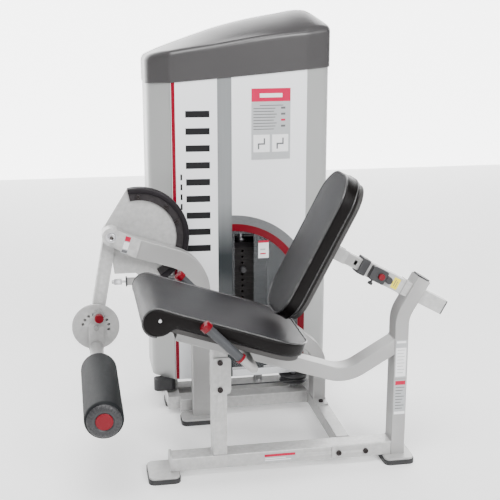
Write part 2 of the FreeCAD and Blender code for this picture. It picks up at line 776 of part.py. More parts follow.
TRACK_START = -63.0
TRACK_END = 102.0


def rim_sector(r_out, r_in, y0, y1, a0, a1):
    """Part of a ring around the cam's centre, from angle a0 to a1 in the XZ plane."""
    mid = (a0 + a1) / 2

    def p(angle, radius):
        x, z = rim_point(angle, radius)
        return V(x, y0, z)

    outer = Part.Arc(p(a0, r_out), p(mid, r_out), p(a1, r_out)).toShape()
    inner = Part.Arc(p(a1, r_in), p(mid, r_in), p(a0, r_in)).toShape()
    edges = [outer, Part.makeLine(p(a1, r_out), p(a1, r_in)), inner, Part.makeLine(p(a0, r_in), p(a0, r_out))]
    return Part.Face(Part.Wire(edges)).extrude(V(0, y1 - y0, 0))


PLATE_Y0 = 199.0
PLATE_Y1 = 207.0


def cam_plate():
    """The light plate inside the track, cut straight from the track's ends to the hub."""
    top = rim_point(TRACK_END, CAM_R)
    low = rim_point(-80.0, CAM_R)
    mid = rim_point(5.0, CAM_R)
    hub_left = (PIVOT[0] - 28, PIVOT[1] + 20)
    hub_low = (PIVOT[0] - 6, PIVOT[1] - 34)
    arc = Part.Arc(*[V(x, PLATE_Y0, z) for x, z in (low, mid, top)]).toShape()
    turn = [V(top[0], PLATE_Y0, top[1]), V(hub_left[0], PLATE_Y0, hub_left[1]),
            V(hub_low[0], PLATE_Y0, hub_low[1]), V(-505.0, PLATE_Y0, 628.0),
            V(-420.0, PLATE_Y0, 628.0), V(low[0], PLATE_Y0, low[1])]
    face = Part.Face(Part.Wire(Part.__sortEdges__([arc] + Part.makePolygon(turn).Edges)))
    plate = face.extrude(V(0, PLATE_Y1 - PLATE_Y0, 0))
    plate = plate.cut(rim_sector(CAM_R + 5, 170, PLATE_Y0 - 1, PLATE_Y1 + 1, TRACK_START, TRACK_END))
    plate = plate.cut(rim_sector(CAM_R + 5, 186, PLATE_Y0 - 1, PLATE_Y1 + 1, TRACK_START - 40, TRACK_START))
    plate = plate.cut(rod_y(33, *PIVOT, PLATE_Y0 - 1, PLATE_Y1 + 1))
    lever_space = along_lever(box(PIVOT[0] - 26, PIVOT[0] + 26, LEVER_Y0, LEVER_Y0 + TUBE_THIN,
                                  PIVOT[1] - 500, PIVOT[1] - 10))
    return plate.cut(lever_space)


def cam_track():
    """The dark channel, bolted round the cam's rim, that the cable winds into."""
    near = rim_sector(CAM_R, 150, PLATE_Y0 - 8, PLATE_Y0, TRACK_START, TRACK_END)
    core = rim_sector(CAM_R - 8, 170, PLATE_Y0, PLATE_Y1 + 6, TRACK_START, TRACK_END)
    far = rim_sector(CAM_R, 168, PLATE_Y1 + 6, PLATE_Y1 + 12, TRACK_START, TRACK_END)
    track = near.fuse(core).fuse(far)
    for angle in TRACK_BOLTS:
        x, z = rim_point(angle, 162)
        track = track.cut(rod_y(5.2, x, z, PLATE_Y0 - 10, PLATE_Y0 + 1))
    return track


TRACK_BOLTS = (90.0, 47.0, 21.0, -28.0)


def cam_bolts():
    bolts = []
    for angle in TRACK_BOLTS:
        x, z = rim_point(angle, 162)
        bolts.append(hex_bolt(9, 6, 5, 8, (x, PLATE_Y0 - 8, z), (0, -1, 0)))
    return group(bolts)


DISC_Y0 = 176.0
KNOB_ANGLE = 14.0           # degrees from vertical, at rest


def index_disc():
    """The round plate with a ring of start position holes."""
    disc = rod_y(DISC_R, *DISC, DISC_Y0, LEVER_Y0)
    disc = disc.makeChamfer(1.5, [e for e in disc.Edges if e.BoundBox.XLength > 100])
    disc = disc.cut(rod_y(11, *DISC, DISC_Y0 - 1, LEVER_Y0 + 1))
    for i in range(9):
        a = math.radians(KNOB_ANGLE + 22.5 * (i - 4))
        x = DISC[0] + 52 * math.sin(a)
        z = DISC[1] + 52 * math.cos(a)
        disc = disc.cut(rod_y(6, x, z, DISC_Y0 - 1, LEVER_Y0 + 1))
    return disc


def knob_point(radius):
    a = math.radians(KNOB_ANGLE)
    return (DISC[0] + radius * math.sin(a), DISC[1] + radius * math.cos(a))


CRANK_Y0 = 160.0
CRANK_Y1 = 170.0


def crank_arm():
    """The flat bar on the disc's axis that carries the roller, with the plunger's barrel."""
    knob = knob_point(52)
    top = rod_y(21, *knob, CRANK_Y0, CRANK_Y1)
    middle = rod_y(30, *DISC, CRANK_Y0, CRANK_Y1)
    low = rod_y(30, ROLLER_X, ROLLER_Z, CRANK_Y0, CRANK_Y1)
    upper = polygon_y([(DISC[0] - 27, DISC[1]), (DISC[0] + 29, DISC[1]), (knob[0] + 20, knob[1]),
                       (knob[0] - 20, knob[1])], CRANK_Y0, CRANK_Y1)
    lower = polygon_y([(DISC[0] - 30, DISC[1]), (DISC[0] + 30, DISC[1]), (ROLLER_X + 30, ROLLER_Z),
                       (ROLLER_X - 30, ROLLER_Z)], CRANK_Y0, CRANK_Y1)
    bar = top.fuse(middle).fuse(low).fuse(upper).fuse(lower).removeSplitter()
    barrel = rod_y(11, *knob, CRANK_Y0 - 22, CRANK_Y0)
    bar = bar.fuse(barrel).cut(rod_y(6.1, *knob, CRANK_Y0 - 30, CRANK_Y1 + 1))
    return bar.cut(rod_y(10.95, *DISC, CRANK_Y0 - 1, CRANK_Y1 + 1))


def crank_shaft():
    shaft = rod_y(10.95, *DISC, CRANK_Y0 - 6, LEVER_Y0 + 8)
    return shaft.makeChamfer(1.5, [e for e in shaft.Edges if e.CenterOfMass.y < CRANK_Y0])


def pull_plunger():
    """The spring plunger that locks the crank to a hole of the disc; it pulls out towards -Y."""
    knob = knob_point(52)
    grip = rod_y(18, *knob, CRANK_Y0 - 48, CRANK_Y0 - 24)
    grip = grip.makeFillet(5, [e for e in grip.Edges if e.BoundBox.XLength > 30])
    pin = rod_y(6, *knob, CRANK_Y0 - 30, DISC_Y0 - 0.6)
    return grip.fuse(pin)


def roller_axle():
    tube = ring_y(19, 16, ROLLER_X, ROLLER_Z, ROLLER_Y0 + 20, CRANK_Y0)
    return tube


def roller_collar():
    collar = ring_y(27, 19, ROLLER_X, ROLLER_Z, ROLLER_Y1 + 6, CRANK_Y0)
    return collar.makeChamfer(1.5, [e for e in collar.Edges if e.BoundBox.XLength > 50])


def foam_roller():
    """The foam sleeve the shins push on, round at both ends."""
    foam = rod_y(ROLLER_R, ROLLER_X, ROLLER_Z, ROLLER_Y0 + 6, ROLLER_Y1)
    foam = foam.makeFillet(16, [e for e in foam.Edges if e.BoundBox.XLength > 100])
    foam = foam.cut(rod_y(19.4, ROLLER_X, ROLLER_Z, ROLLER_Y0, ROLLER_Y1 + 1))
    return foam.cut(rod_y(50, ROLLER_X, ROLLER_Z, ROLLER_Y0, ROLLER_Y0 + 12))


def roller_ring():
    """The black moulded washer in the roller's near end."""
    ring = ring_y(50, 31, ROLLER_X, ROLLER_Z, ROLLER_Y0 + 2, ROLLER_Y0 + 12)
    return ring


def roller_cap():
    cap = rod_y(31, ROLLER_X, ROLLER_Z, ROLLER_Y0, ROLLER_Y0 + 12)
    outer_rim = [e for e in cap.Edges if e.CenterOfMass.y < ROLLER_Y0 + 1 and e.BoundBox.XLength > 50]
    return cap.makeFillet(3, outer_rim)


# ---------------------------------------------------------------- start stop
STOP_Z = 586.0
STOP_Y = 230.0
STOP_TIP_X = -516.0
STOP_R = 10.5


def stop_screw():
    """The threaded stop that sets where the lever rests."""
    nut = rod(STOP_R, (STOP_TIP_X + 9, STOP_Y, STOP_Z), (STOP_TIP_X + 40, STOP_Y, STOP_Z))
    screw = rod(5, (STOP_TIP_X + 40, STOP_Y, STOP_Z), (STOP_TIP_X + 92, STOP_Y, STOP_Z))
    return nut.fuse(screw)


def stop_tip():
    tip = rod(8, (STOP_TIP_X, STOP_Y, STOP_Z), (STOP_TIP_X + 9, STOP_Y, STOP_Z))
    return tip.makeFillet(2, [e for e in tip.Edges if e.CenterOfMass.x < STOP_TIP_X + 1])


def stop_bracket():
    """The bar behind the cam that holds the start stop."""
    x0 = STOP_TIP_X + 62
    x1 = ARM_POST_X + 30
    bar = round_edges(box(x0, x1, 222, 240, STOP_Z - 16, STOP_Z + 16), 5, (1, 0, 0))
    leg = box(x1 - 26, x1, ARM_Y1, 224, STOP_Z - 16, STOP_Z + 16)
    lug = rod(5.3, (x0 - 1, STOP_Y, STOP_Z), (STOP_TIP_X + 114, STOP_Y, STOP_Z))
    return bar.fuse(leg).cut(lug)


# ---------------------------------------------------------------- tower frame
TOP_BEAM_Z = 1196.0


def tower_posts():
    posts = []
    for x in TOWER_POST_X:
        posts.append(straight_tube(x - 26, x + 26, STACK_Y - TUBE_WIDE / 2, STACK_Y + TUBE_WIDE / 2,
                                   BASE_Z1, TOP_BEAM_Z + TUBE_THIN, "z"))
    return posts


def top_beam():
    """The cross beam at the top of the uprights, drilled for the rods and both runs of the cable."""
    beam = straight_tube(TOWER_POST_X[0] + 26, TOWER_POST_X[1] - 26, STACK_Y - TUBE_WIDE / 2,
                         STACK_Y + TUBE_WIDE / 2, TOP_BEAM_Z, TOP_BEAM_Z + TUBE_THIN, "x")
    for x in rod_places():
        beam = beam.cut(rod_z(ROD_R + 0.5, x, STACK_Y, TOP_BEAM_Z - 1, TOP_BEAM_Z + 60))
    for x in (STACK_X, RISE_X):
        beam = beam.cut(rod_z(14, x, STACK_Y, TOP_BEAM_Z - 1, TOP_BEAM_Z + 60))
    return beam


def rod_places():
    return (STACK_X - ROD_SPACING / 2, STACK_X + ROD_SPACING / 2)


def guide_rods():
    rods = []
    for x in rod_places():
        rods.append(rod_z(ROD_R, x, STACK_Y, BASE_Z1, TOP_BEAM_Z + TUBE_THIN + 12))
    return group(rods)


def rod_collars():
    """Set collars that hold the guide rods above the top beam."""
    collars = []
    for x in rod_places():
        z = TOP_BEAM_Z + TUBE_THIN
        collars.append(rod_z(18, x, STACK_Y, z, z + 12).cut(rod_z(ROD_R, x, STACK_Y, z - 1, z + 13)))
    return group(collars)


def stack_risers():
    risers = []
    for x in rod_places():
        tube = rod_z(20, x, STACK_Y, BASE_Z1, STACK_Z0 - 22)
        risers.append(tube.cut(rod_z(ROD_R + 0.3, x, STACK_Y, BASE_Z1 - 1, STACK_Z0)))
    return group(risers)


def stack_cushions():
    pads = []
    for x in rod_places():
        tube = rod_z(27, x, STACK_Y, STACK_Z0 - 22, STACK_Z0)
        pads.append(tube.cut(rod_z(ROD_R + 0.3, x, STACK_Y, 100, STACK_Z0 + 1)))
    return group(pads)


STEM_R = 11.0


def weight_plate(z, pin_hole):
    """One iron plate with two rod holes, the stem's hole and the pin's slot in its front edge."""
    x0 = STACK_X - STACK_W / 2
    y0 = STACK_Y - STACK_D / 2
    plate = round_edges(box(x0, x0 + STACK_W, y0, y0 + STACK_D, z, z + PLATE_H), 8, (0, 0, 1))
    for x in rod_places():
        plate = plate.cut(rod_z(ROD_R + 1.2, x, STACK_Y, z - 1, z + PLATE_H + 1))
    plate = plate.cut(rod_z(STEM_R + 1.5, STACK_X, STACK_Y, z - 1, z + PLATE_H + 1))
    if pin_hole:
        plate = plate.cut(rod_y(5.2, STACK_X, z + PLATE_H / 2, y0 - 1, STACK_Y))
    return plate


def plate_z(i):
    return STACK_Z0 + i * (PLATE_H + PLATE_GAP)


def stack_plates():
    return group([weight_plate(plate_z(i), True) for i in range(LOWER_PLATES)])


def lifted_plates():
    return group([weight_plate(plate_z(i), True) for i in range(LOWER_PLATES, LOWER_PLATES + LIFTED_PLATES)])


def head_plate():
    """The top plate with its two guide bushes."""
    z = plate_z(LOWER_PLATES + LIFTED_PLATES)
    plate = weight_plate(z, False)
    for x in rod_places():
        bush = rod_z(18, x, STACK_Y, z + PLATE_H, z + PLATE_H + 26)
        plate = plate.fuse(bush.cut(rod_z(ROD_R + 1.2, x, STACK_Y, z, z + 60)))
    return plate


def head_z():
    return plate_z(LOWER_PLATES + LIFTED_PLATES) + PLATE_H


def selector_stem():
    """The drilled rod that hangs from the cable through every plate."""
    low = STACK_Z0 + 6
    stem = rod_z(STEM_R, STACK_X, STACK_Y, low, head_z() + 34)
    flange = rod_z(24, STACK_X, STACK_Y, head_z(), head_z() + 10)
    stem = stem.fuse(flange)
    for i in range(LOWER_PLATES + LIFTED_PLATES):
        stem = stem.cut(rod_y(5.2, STACK_X, plate_z(i) + PLATE_H / 2, STACK_Y - 20, STACK_Y + 20))
    return stem


def selector_pin():
    """The weight pin under the lifted plates, with its round head in front of the stack."""
    z = plate_z(LOWER_PLATES) + PLATE_H / 2
    y0 = STACK_Y - STACK_D / 2
    pin = rod_y(4.8, STACK_X, z, y0 - 18, STACK_Y + 10)
    head = rod_y(13, STACK_X, z, y0 - 32, y0 - 12)
    outer_rim = [e for e in head.Edges if e.BoundBox.XLength > 20 and e.CenterOfMass.y < y0 - 30]
    return pin.fuse(head.makeFillet(4, outer_rim))


# ---------------------------------------------------------------- pulleys
GROOVE_R = 45.0
FLOOR_Z = 118.0             # height of the cable along the floor
PULLEY_A = (-205.0, 534.0)  # behind the pivot arm's post
PULLEY_B = (-115.0, FLOOR_Z + GROOVE_R)
RETURN_R = 57.0
RETURN_Y = CABLE_Y + 2 * RETURN_R
PULLEY_C = (243.0, CABLE_Y + RETURN_R)
PULLEY_D = (-150.0, FLOOR_Z + GROOVE_R)
RISE_X = PULLEY_D[0] - GROOVE_R
TOP_Z = 1330.0
PULLEY_E = (RISE_X + GROOVE_R, TOP_Z)
PULLEY_F = (STACK_X - GROOVE_R, TOP_Z)


def wheel(groove_r, width, bore):
    """A pulley on the Z axis, its groove at Z 0, with a thin web and a bearing hub."""
    r_out = groove_r + 5
    half = width / 2
    floor = groove_r - CABLE_R - 0.4
    floor_half = CABLE_R + 0.6
    outline = [(bore, -half), (r_out, -half), (r_out, -half + 2), (floor, -floor_half),
               (floor, floor_half), (r_out, half - 2), (r_out, half), (bore, half)]
    points = [V(r, 0, z) for r, z in outline]
    body = Part.Face(Part.makePolygon(points + points[:1])).revolve(V(0, 0, 0), V(0, 0, 1), 360)
    for z0, z1 in ((-half - 1, -half + 3), (half - 3, half + 1)):
        body = body.cut(rod_z(groove_r - 10, 0, 0, z0, z1).cut(rod_z(bore + 9, 0, 0, z0, z1)))
    return body


def wheel_y(centre, y):
    pulley = wheel(GROOVE_R, 20, 6.05)
    pulley.rotate(V(0, 0, 0), V(1, 0, 0), 90)
    pulley.translate(V(centre[0], y, centre[1]))
    return pulley


def return_wheel():
    pulley = wheel(RETURN_R, 26, 6.05)
    pulley.translate(V(PULLEY_C[0], PULLEY_C[1], FLOOR_Z))
    return pulley


def return_axle():
    """The vertical bolt of the return pulley, on a spacer that stands on the rear beam."""
    x, y = PULLEY_C
    spacer = rod_z(16, x, y, BASE_Z1, FLOOR_Z - 14)
    bolt = rod_z(6, x, y, BASE_Z1, FLOOR_Z + 18)
    head = rod_z(10, x, y, FLOOR_Z + 14, FLOOR_Z + 22)
    return spacer.fuse(bolt).fuse(head)


def axle_pin(centre, y0, y1, head_side):
    pin = rod_y(6, *centre, y0, y1)
    head_y = y0 - 6 if head_side < 0 else y1
    return pin.fuse(rod_y(10, *centre, head_y, head_y + 6))


def arm_pulley_bracket():
    """A fork behind the pivot arm's post for the upper pulley."""
    x, z = PULLEY_A
    far = box(x - 22, ARM_POST_X + 38, CABLE_Y + 13, CABLE_Y + 18, z - 24, z + 24)
    leg = box(ARM_POST_X + 18, ARM_POST_X + 38, ARM_Y1, CABLE_Y + 13, z - 24, z + 24)
    return far.fuse(leg).cut(rod_y(6, x, z, ARM_Y1 - 1, CABLE_Y + 20))


def arm_axle():
    return axle_pin(PULLEY_A, ARM_Y1 + 3, CABLE_Y + 18, 1).fuse(rod_y(10, *PULLEY_A, ARM_Y1, CABLE_Y - 11))


def floor_pulley_bracket():
    """Two upright ears on the rear beam for the lower pulley."""
    x, z = PULLEY_B
    ears = []
    for y0 in (CABLE_Y - 17, CABLE_Y + 12):
        ear = box(x - 18, x + 18, y0, y0 + 5, BASE_Z1, z + 18)
        root = box(x - 18, x + 18, y0, y0 + 5, BASE_Z1, BASE_Z1 + 12)
        ear = round_edges(ear, 10, (0, 1, 0)).fuse(root)
        ears.append(ear.cut(rod_y(6, x, z, y0 - 1, y0 + 6)))
    return group(ears)


def floor_axle():
    return axle_pin(PULLEY_B, CABLE_Y - 17, CABLE_Y + 17, -1)


def riser_pulley_bracket():
    """Two ears beside the stack beam for the pulley that sends the cable up."""
    x, z = PULLEY_D
    ears = []
    for y0 in (RETURN_Y - 17, RETURN_Y + 12):
        ears.append(box(x - 18, x + 18, y0, y0 + 5, BASE_Z1, z + 18).cut(rod_y(6, x, z, y0 - 1, y0 + 6)))
    foot = box(x - 18, x + 18, RETURN_Y - 17, RETURN_Y + 17, BASE_Z1, BASE_Z1 + 5)
    return foot.fuse(ears[0]).fuse(ears[1])


def riser_axle():
    return axle_pin(PULLEY_D, RETURN_Y - 17, RETURN_Y + 17, -1)


def top_pulley_bracket():
    """Two plates on the top beam that carry both top pulleys."""
    plates = []
    for y0 in (STACK_Y - 18, STACK_Y + 13):
        plate = box(PULLEY_E[0] - 30, PULLEY_F[0] + 30, y0, y0 + 5, TOP_BEAM_Z + TUBE_THIN, TOP_Z + 26)
        plate = round_edges(plate, 12, (0, 1, 0))
        collar_x = rod_places()[0]
        base = TOP_BEAM_Z + TUBE_THIN
        plate = plate.cut(box(collar_x - 22, collar_x + 22, y0 - 1, y0 + 6, base - 1, base + 15))
        for centre in (PULLEY_E, PULLEY_F):
            plate = plate.cut(rod_y(6, *centre, y0 - 1, y0 + 6))
        plates.append(plate)
    return group(plates)


def top_axles():
    return group([axle_pin(c, STACK_Y - 18, STACK_Y + 18, -1) for c in (PULLEY_E, PULLEY_F)])


# ---------------------------------------------------------------- cable
def tube_along(points, radii):
    wire = round_path(points, radii)
    return sweep_round(wire, CABLE_R)


SPAN_FALL = 12.0            # degrees that the cable falls from the cam to the arm pulley
SPAN_GAP = 9.0              # the clamp's length between the span and the cable in the track


def span_end():
    """Where the cable from the cam first touches the arm pulley."""
    a = math.radians(90 - SPAN_FALL)
    return (PULLEY_A[0] + GROOVE_R * math.cos(a), PULLEY_A[1] + GROOVE_R * math.sin(a))


def cable_span():
    """The straight run from the track's lower end to the arm pulley."""
    x1, z1 = span_end()
    x0 = rim_point(TRACK_START + 2, CAM_R - 5)[0] + SPAN_GAP
    z0 = z1 + (x1 - x0) * math.tan(math.radians(SPAN_FALL))
    return rod(CABLE_R, (x0, CABLE_Y + 3, z0), (x1, CABLE_Y, z1))


def cable_lower():
    """Over the arm pulley, down, under the floor pulley and round the return pulley."""
    x1, z1 = span_end()
    x_down = PULLEY_A[0] + GROOVE_R
    corner_z = z1 - (x_down - x1) * math.tan(math.radians(SPAN_FALL))
    x_far = PULLEY_C[0] + RETURN_R
    points = [(x1, CABLE_Y, z1), (x_down, CABLE_Y, corner_z), (x_down, CABLE_Y, FLOOR_Z),
              (x_far, CABLE_Y, FLOOR_Z), (x_far, RETURN_Y, FLOOR_Z), (PULLEY_C[0] - 40, RETURN_Y, FLOOR_Z)]
    return tube_along(points, [GROOVE_R - 0.01, GROOVE_R, RETURN_R - 0.01, RETURN_R - 0.01])


def cable_upper():
    """From the return pulley to the riser pulley, up the tower and over both top pulleys."""
    top = TOP_Z + GROOVE_R
    points = [(PULLEY_C[0] - 40, RETURN_Y, FLOOR_Z), (RISE_X, RETURN_Y, FLOOR_Z), (RISE_X, STACK_Y, top),
              (STACK_X, STACK_Y, top), (STACK_X, STACK_Y, TOP_Z)]
    return tube_along(points, [GROOVE_R, GROOVE_R, GROOVE_R - 0.01])


def cable_drop():
    return rod_z(CABLE_R, STACK_X, STACK_Y, head_z() + 34, TOP_Z)


def cable_on_cam():
    """The cable's end, laid in the track and clamped at the track's lower end."""
    a = math.radians(TRACK_START + 2)
    b = math.radians(TRACK_START + 60)
    r = CAM_R - 5
    mid = (a + b) / 2
    pts = [V(CAM[0] + r * math.cos(t), PLATE_Y1 + 3, CAM[1] + r * math.sin(t)) for t in (a, mid, b)]
    return sweep_round(Part.Wire(Part.Arc(*pts).toShape()), 2.9)


# ---------------------------------------------------------------- shroud
FRONT_SAG = 12.0
LEFT_EDGE = (-262.0, 258.0)
RIGHT_EDGE = (287.0, 258.0)
PANEL_L_X = (-246.0, -79.0)
BAND_X = (-79.0, -22.0)
PANEL_R_X = (-22.0, 287.0)
SHROUD_Y1 = TOWER_Y1 - 4
SIDE_SPLIT_Y = 470.0


def front_y(x):
    """The gently curved front of the shroud."""
    middle = (LEFT_EDGE[0] + RIGHT_EDGE[0]) / 2
    half = (RIGHT_EDGE[0] - LEFT_EDGE[0]) / 2
    return TOWER_FRONT_Y + FRONT_SAG * ((x - middle) / half) ** 2


def top_z(x):
    return CAP_Z_AT_X0 + CAP_SLOPE * (x - TOWER_X0)


def plan_strip(line, thickness):
    """A vertical sheet that stands on a line of plan points, as an outline to extrude."""
    pts = [V(x, y, 0) for x, y in line]
    offset = []
    for i, p in enumerate(pts):
        a = pts[max(i - 1, 0)]
        b = pts[min(i + 1, len(pts) - 1)]
        d = (b - a).normalize()
        offset.append(p + V(-d.y, d.x, 0) * thickness)
    loop = pts + offset[::-1]
    return Part.Face(Part.makePolygon(loop + loop[:1]))


def slope_cutter(drop):
    """Everything above the sloping top edge of the shroud, lowered by drop."""
    x0 = TOWER_X0 - 60
    x1 = TOWER_X1 + 60
    return polygon_y([(x0, top_z(x0) - drop), (x1, top_z(x1) - drop), (x1, 1900), (x0, 1900)], 150, 750)


def sheet(line, thickness, z0=SHROUD_Z0, drop=0.0):
    face = plan_strip(line, thickness)
    face.translate(V(0, 0, z0))
    return face.extrude(V(0, 0, 1500 - z0)).cut(slope_cutter(drop))


def front_line(x0, x1, steps=8):
    return [(x0 + (x1 - x0) * i / steps, front_y(x0 + (x1 - x0) * i / steps)) for i in range(steps + 1)]


def rounded_corner(a, corner, b, radius, steps=6):
    """Plan points of a rounded corner between two straight runs."""
    wire = round_path([(a[0], a[1], 0), (corner[0], corner[1], 0), (b[0], b[1], 0)], [radius])
    arc = wire.Edges[1]
    return [(p.x, p.y) for p in arc.discretize(steps + 1)]


LEFT_CORNER = (TOWER_X0, 338.0)
RIGHT_CORNER = (TOWER_X1, 279.0)


def left_column():
    """The silver side column that wraps the tower's front left corner."""
    gap = 2.2
    start = (TOWER_X0, SIDE_SPLIT_Y)
    edge = (LEFT_EDGE[0] - gap, LEFT_EDGE[1] + 2.5)
    line = [start] + rounded_corner(start, LEFT_CORNER, edge, 60) + [edge]
    return sheet(line, SHROUD_T)


def right_column():
    end = (TOWER_X1, SIDE_SPLIT_Y)
    edge = (RIGHT_EDGE[0] + 0.4, RIGHT_EDGE[1])
    line = [edge] + rounded_corner(edge, RIGHT_CORNER, end, 30) + [end]
    return sheet(line, SHROUD_T)


def rear_shroud():
    """The U shaped back cover."""
    gap = 0.4
    left = (TOWER_X0, SIDE_SPLIT_Y + gap)
    right = (TOWER_X1, SIDE_SPLIT_Y + gap)
    back_l = (TOWER_X0, SHROUD_Y1)
    back_r = (TOWER_X1, SHROUD_Y1)
    corner_r = rounded_corner(right, back_r, back_l, 60)
    corner_l = rounded_corner(back_r, back_l, left, 60)
    line = [right] + corner_r + corner_l + [left]
    return sheet(line, SHROUD_T)


ARCH = (-22.0, 492.0)
ARCH_R = 280.0
SILL_Z = 170.0
SLOT = (-12.0, 68.0, 300.0, 758.0)


def arch_block(radius, y0, y1):
    """The space under the arch: a quarter round on a straight leg."""
    top = V(ARCH[0], y0, ARCH[1] + radius)
    right = V(ARCH[0] + radius, y0, ARCH[1])
    a = math.radians(45)
    mid = V(ARCH[0] + radius * math.cos(a), y0, ARCH[1] + radius * math.sin(a))
    low_r = V(ARCH[0] + radius, y0, SILL_Z)
    low_l = V(ARCH[0], y0, SILL_Z)
    wire = Part.Wire([Part.makeLine(low_l, top), Part.Arc(top, mid, right).toShape(),
                      Part.makeLine(right, low_r), Part.makeLine(low_r, low_l)])
    return Part.Face(wire).extrude(V(0, y1 - y0, 0))


def front_panel(limits, thickness=SHROUD_T):
    gap = 0.2
    return sheet(front_line(limits[0] + gap, limits[1] - gap), thickness)


def right_panel():
    return front_panel(PANEL_R_X).cut(arch_block(ARCH_R, 200, 300))


def stack_window():
    """The tinted lower window, with the open slot for the weight pin."""
    pane = sheet(front_line(PANEL_R_X[0] + 1, PANEL_R_X[1] - 1), SHROUD_T - 1)
    pane = pane.common(arch_block(ARCH_R - 0.4, 200, 300))
    x0, x1, z0, z1 = SLOT
    return pane.cut(box(x0, x1, 200, 300, z0, z1))


CAP_OVER = 4.0


def cap_plan(grow, z0, z1):
    """The cap's outline in plan, as a tall block."""
    g = grow
    edge_l = (LEFT_EDGE[0], LEFT_EDGE[1] - g)
    edge_r = (RIGHT_EDGE[0], RIGHT_EDGE[1] - g)
    corner_l = (TOWER_X0 - g, LEFT_CORNER[1] - g)
    corner_r = (TOWER_X1 + g, RIGHT_CORNER[1] - g)
    back_l = (TOWER_X0 - g, SHROUD_Y1 + g)
    back_r = (TOWER_X1 + g, SHROUD_Y1 + g)
    line = [(x, y - g) for x, y in front_line(LEFT_EDGE[0], RIGHT_EDGE[0])]
    line += rounded_corner(edge_r, corner_r, back_r, 30 + g)
    line += rounded_corner(corner_r, back_r, back_l, 60 + g)
    line += rounded_corner(back_r, back_l, corner_l, 60 + g)
    line += rounded_corner(back_l, corner_l, edge_l, 60 + g)
    pts = [V(x, y, z0) for x, y in line]
    return Part.Face(Part.makePolygon(pts + pts[:1])).extrude(V(0, 0, z1 - z0))


def cap_section(y, heights, grow):
    """The cap's outline in the XZ plane: a sloping base and an arched top through three heights."""
    x0 = TOWER_X0 - 30
    x1 = TOWER_X1 + 30
    low = [V(x0, y, top_z(x0) - 20), V(x1, y, top_z(x1) - 20)]
    high = [V(x0, y, heights[0] + grow), V((x0 + x1) / 2, y, heights[1] + grow), V(x1, y, heights[2] + grow)]
    return Part.Wire([Part.makeLine(low[0], low[1]), Part.makeLine(low[1], high[2]),
                      Part.Arc(high[2], high[1], high[0]).toShape(), Part.makeLine(high[0], low[0])])


CAP_SHOULDER = (1463.0, 1533.0, 1575.0)     # top of the cap along its front, left to right
CAP_RIDGE = (1452.0, 1598.0, 1645.0)        # the same along its back


def cap_body(grow, base_drop):
    front = cap_section(TOWER_FRONT_Y - 10, CAP_SHOULDER, grow)
    ridge = cap_section(450, CAP_RIDGE, grow)
    back = cap_section(SHROUD_Y1 + 20, CAP_RIDGE, grow)
    loft = Part.makeLoft([front, ridge, back], True, True)
    body = loft.common(cap_plan(CAP_OVER + grow, 1300, 1800))
    x0 = TOWER_X0 - 60
    x1 = TOWER_X1 + 60
    edge0 = (x0, top_z(x0) - base_drop)
    edge1 = (x1, top_z(x1) - base_drop)
    below = polygon_y([edge0, edge1, (x1, 1000), (x0, 1000)], 150, 750)
    return body.cut(below)


def tower_cap():
    """The moulded top cover, a shell that sits over the shroud's upper edge."""
    return cap_body(0.0, 8.0).cut(cap_body(-3.5, 40.0))


def base_foot():
    """The dark moulded foot under the left column."""
    block = slab(-352, -262, 262, 311, BASE_Z1 + 12, SHROUD_Z0 - 0.5, 20)
    return block


def pulley_mounts():
    brackets = [arm_pulley_bracket(), floor_pulley_bracket(), riser_pulley_bracket(), top_pulley_bracket()]
    axles = [arm_axle(), floor_axle(), riser_axle(), top_axles(), return_axle()]
    return group(brackets + axles)


def frame_nodes():
    """Everything welded or bolted to the floor frame."""
    return {
        "near_base_beam": near_base_beam(),
        "base_beams": group([cross_beam(), rear_beam(), tower_left_beam(), stack_beam()]),
        "foot_plates": group([foot_plates(), end_plates(), beam_end_gusset()]),
        "rubber_feet": rubber_feet(),
        "front_post": front_post(),
        "rear_upright": rear_upright(),
        "seat_rail": seat_rail(),
        "back_sleeve": back_sleeve(),
        "bridge_tube": bridge_tube(),
        "pivot_arm": group([pivot_arm(), arm_boss()]),
        "pivot_shaft": pivot_shaft().fuse(pivot_bolt()),
        "frame_brackets": group([
            post_bracket(), beam_bracket(), seat_mounts(), stop_bracket(), bridge_plate()]),
        "frame_bolts": group([bracket_bolts(), beam_bolts(), bridge_bolt()]),
        "plastic_caps": group([upright_cap(), sleeve_cap(), base_foot()]),
        "sleeve_fittings": group([sleeve_bushing(), adjuster_block(), end_stop(), clamp_thumbscrew()]),
        "seat_pad": seat_pad(),
        "seat_board": seat_board(),
        "handle_tubes": group([handle_tube(-1), handle_tube(1)]),
        "handle_grips": group([handle_grip(-1), handle_grip(1)]),
        "handle_rings": group([handle_rings(-1), handle_rings(1)]),
    }


def moving_nodes():
    """The lever, the crank with its roller, the start stop and the sliding back rest."""
    return {
        "lever_arm": group([lever_arm(), lever_hub()]),
        "cam_plate": cam_plate(),
        "cam_track": cam_track(),
        "cam_bolts": cam_bolts(),
        "cable_on_cam": cable_on_cam(),
        "index_disc": index_disc(),
        "crank_arm": group([crank_arm(), crank_shaft(), roller_axle(), roller_collar()]),
        "pull_plunger": pull_plunger(),
        "foam_roller": foam_roller(),
        "roller_cap": group([roller_cap(), roller_ring()]),
        "stop_screw": group([stop_screw(), stop_tip()]),
        "back_carriage": group([back_bracket(), trimmed_inner_tube()]),
        "back_board": back_board(),
        "back_pad": back_pad(),
        "back_button": back_button(),
    }


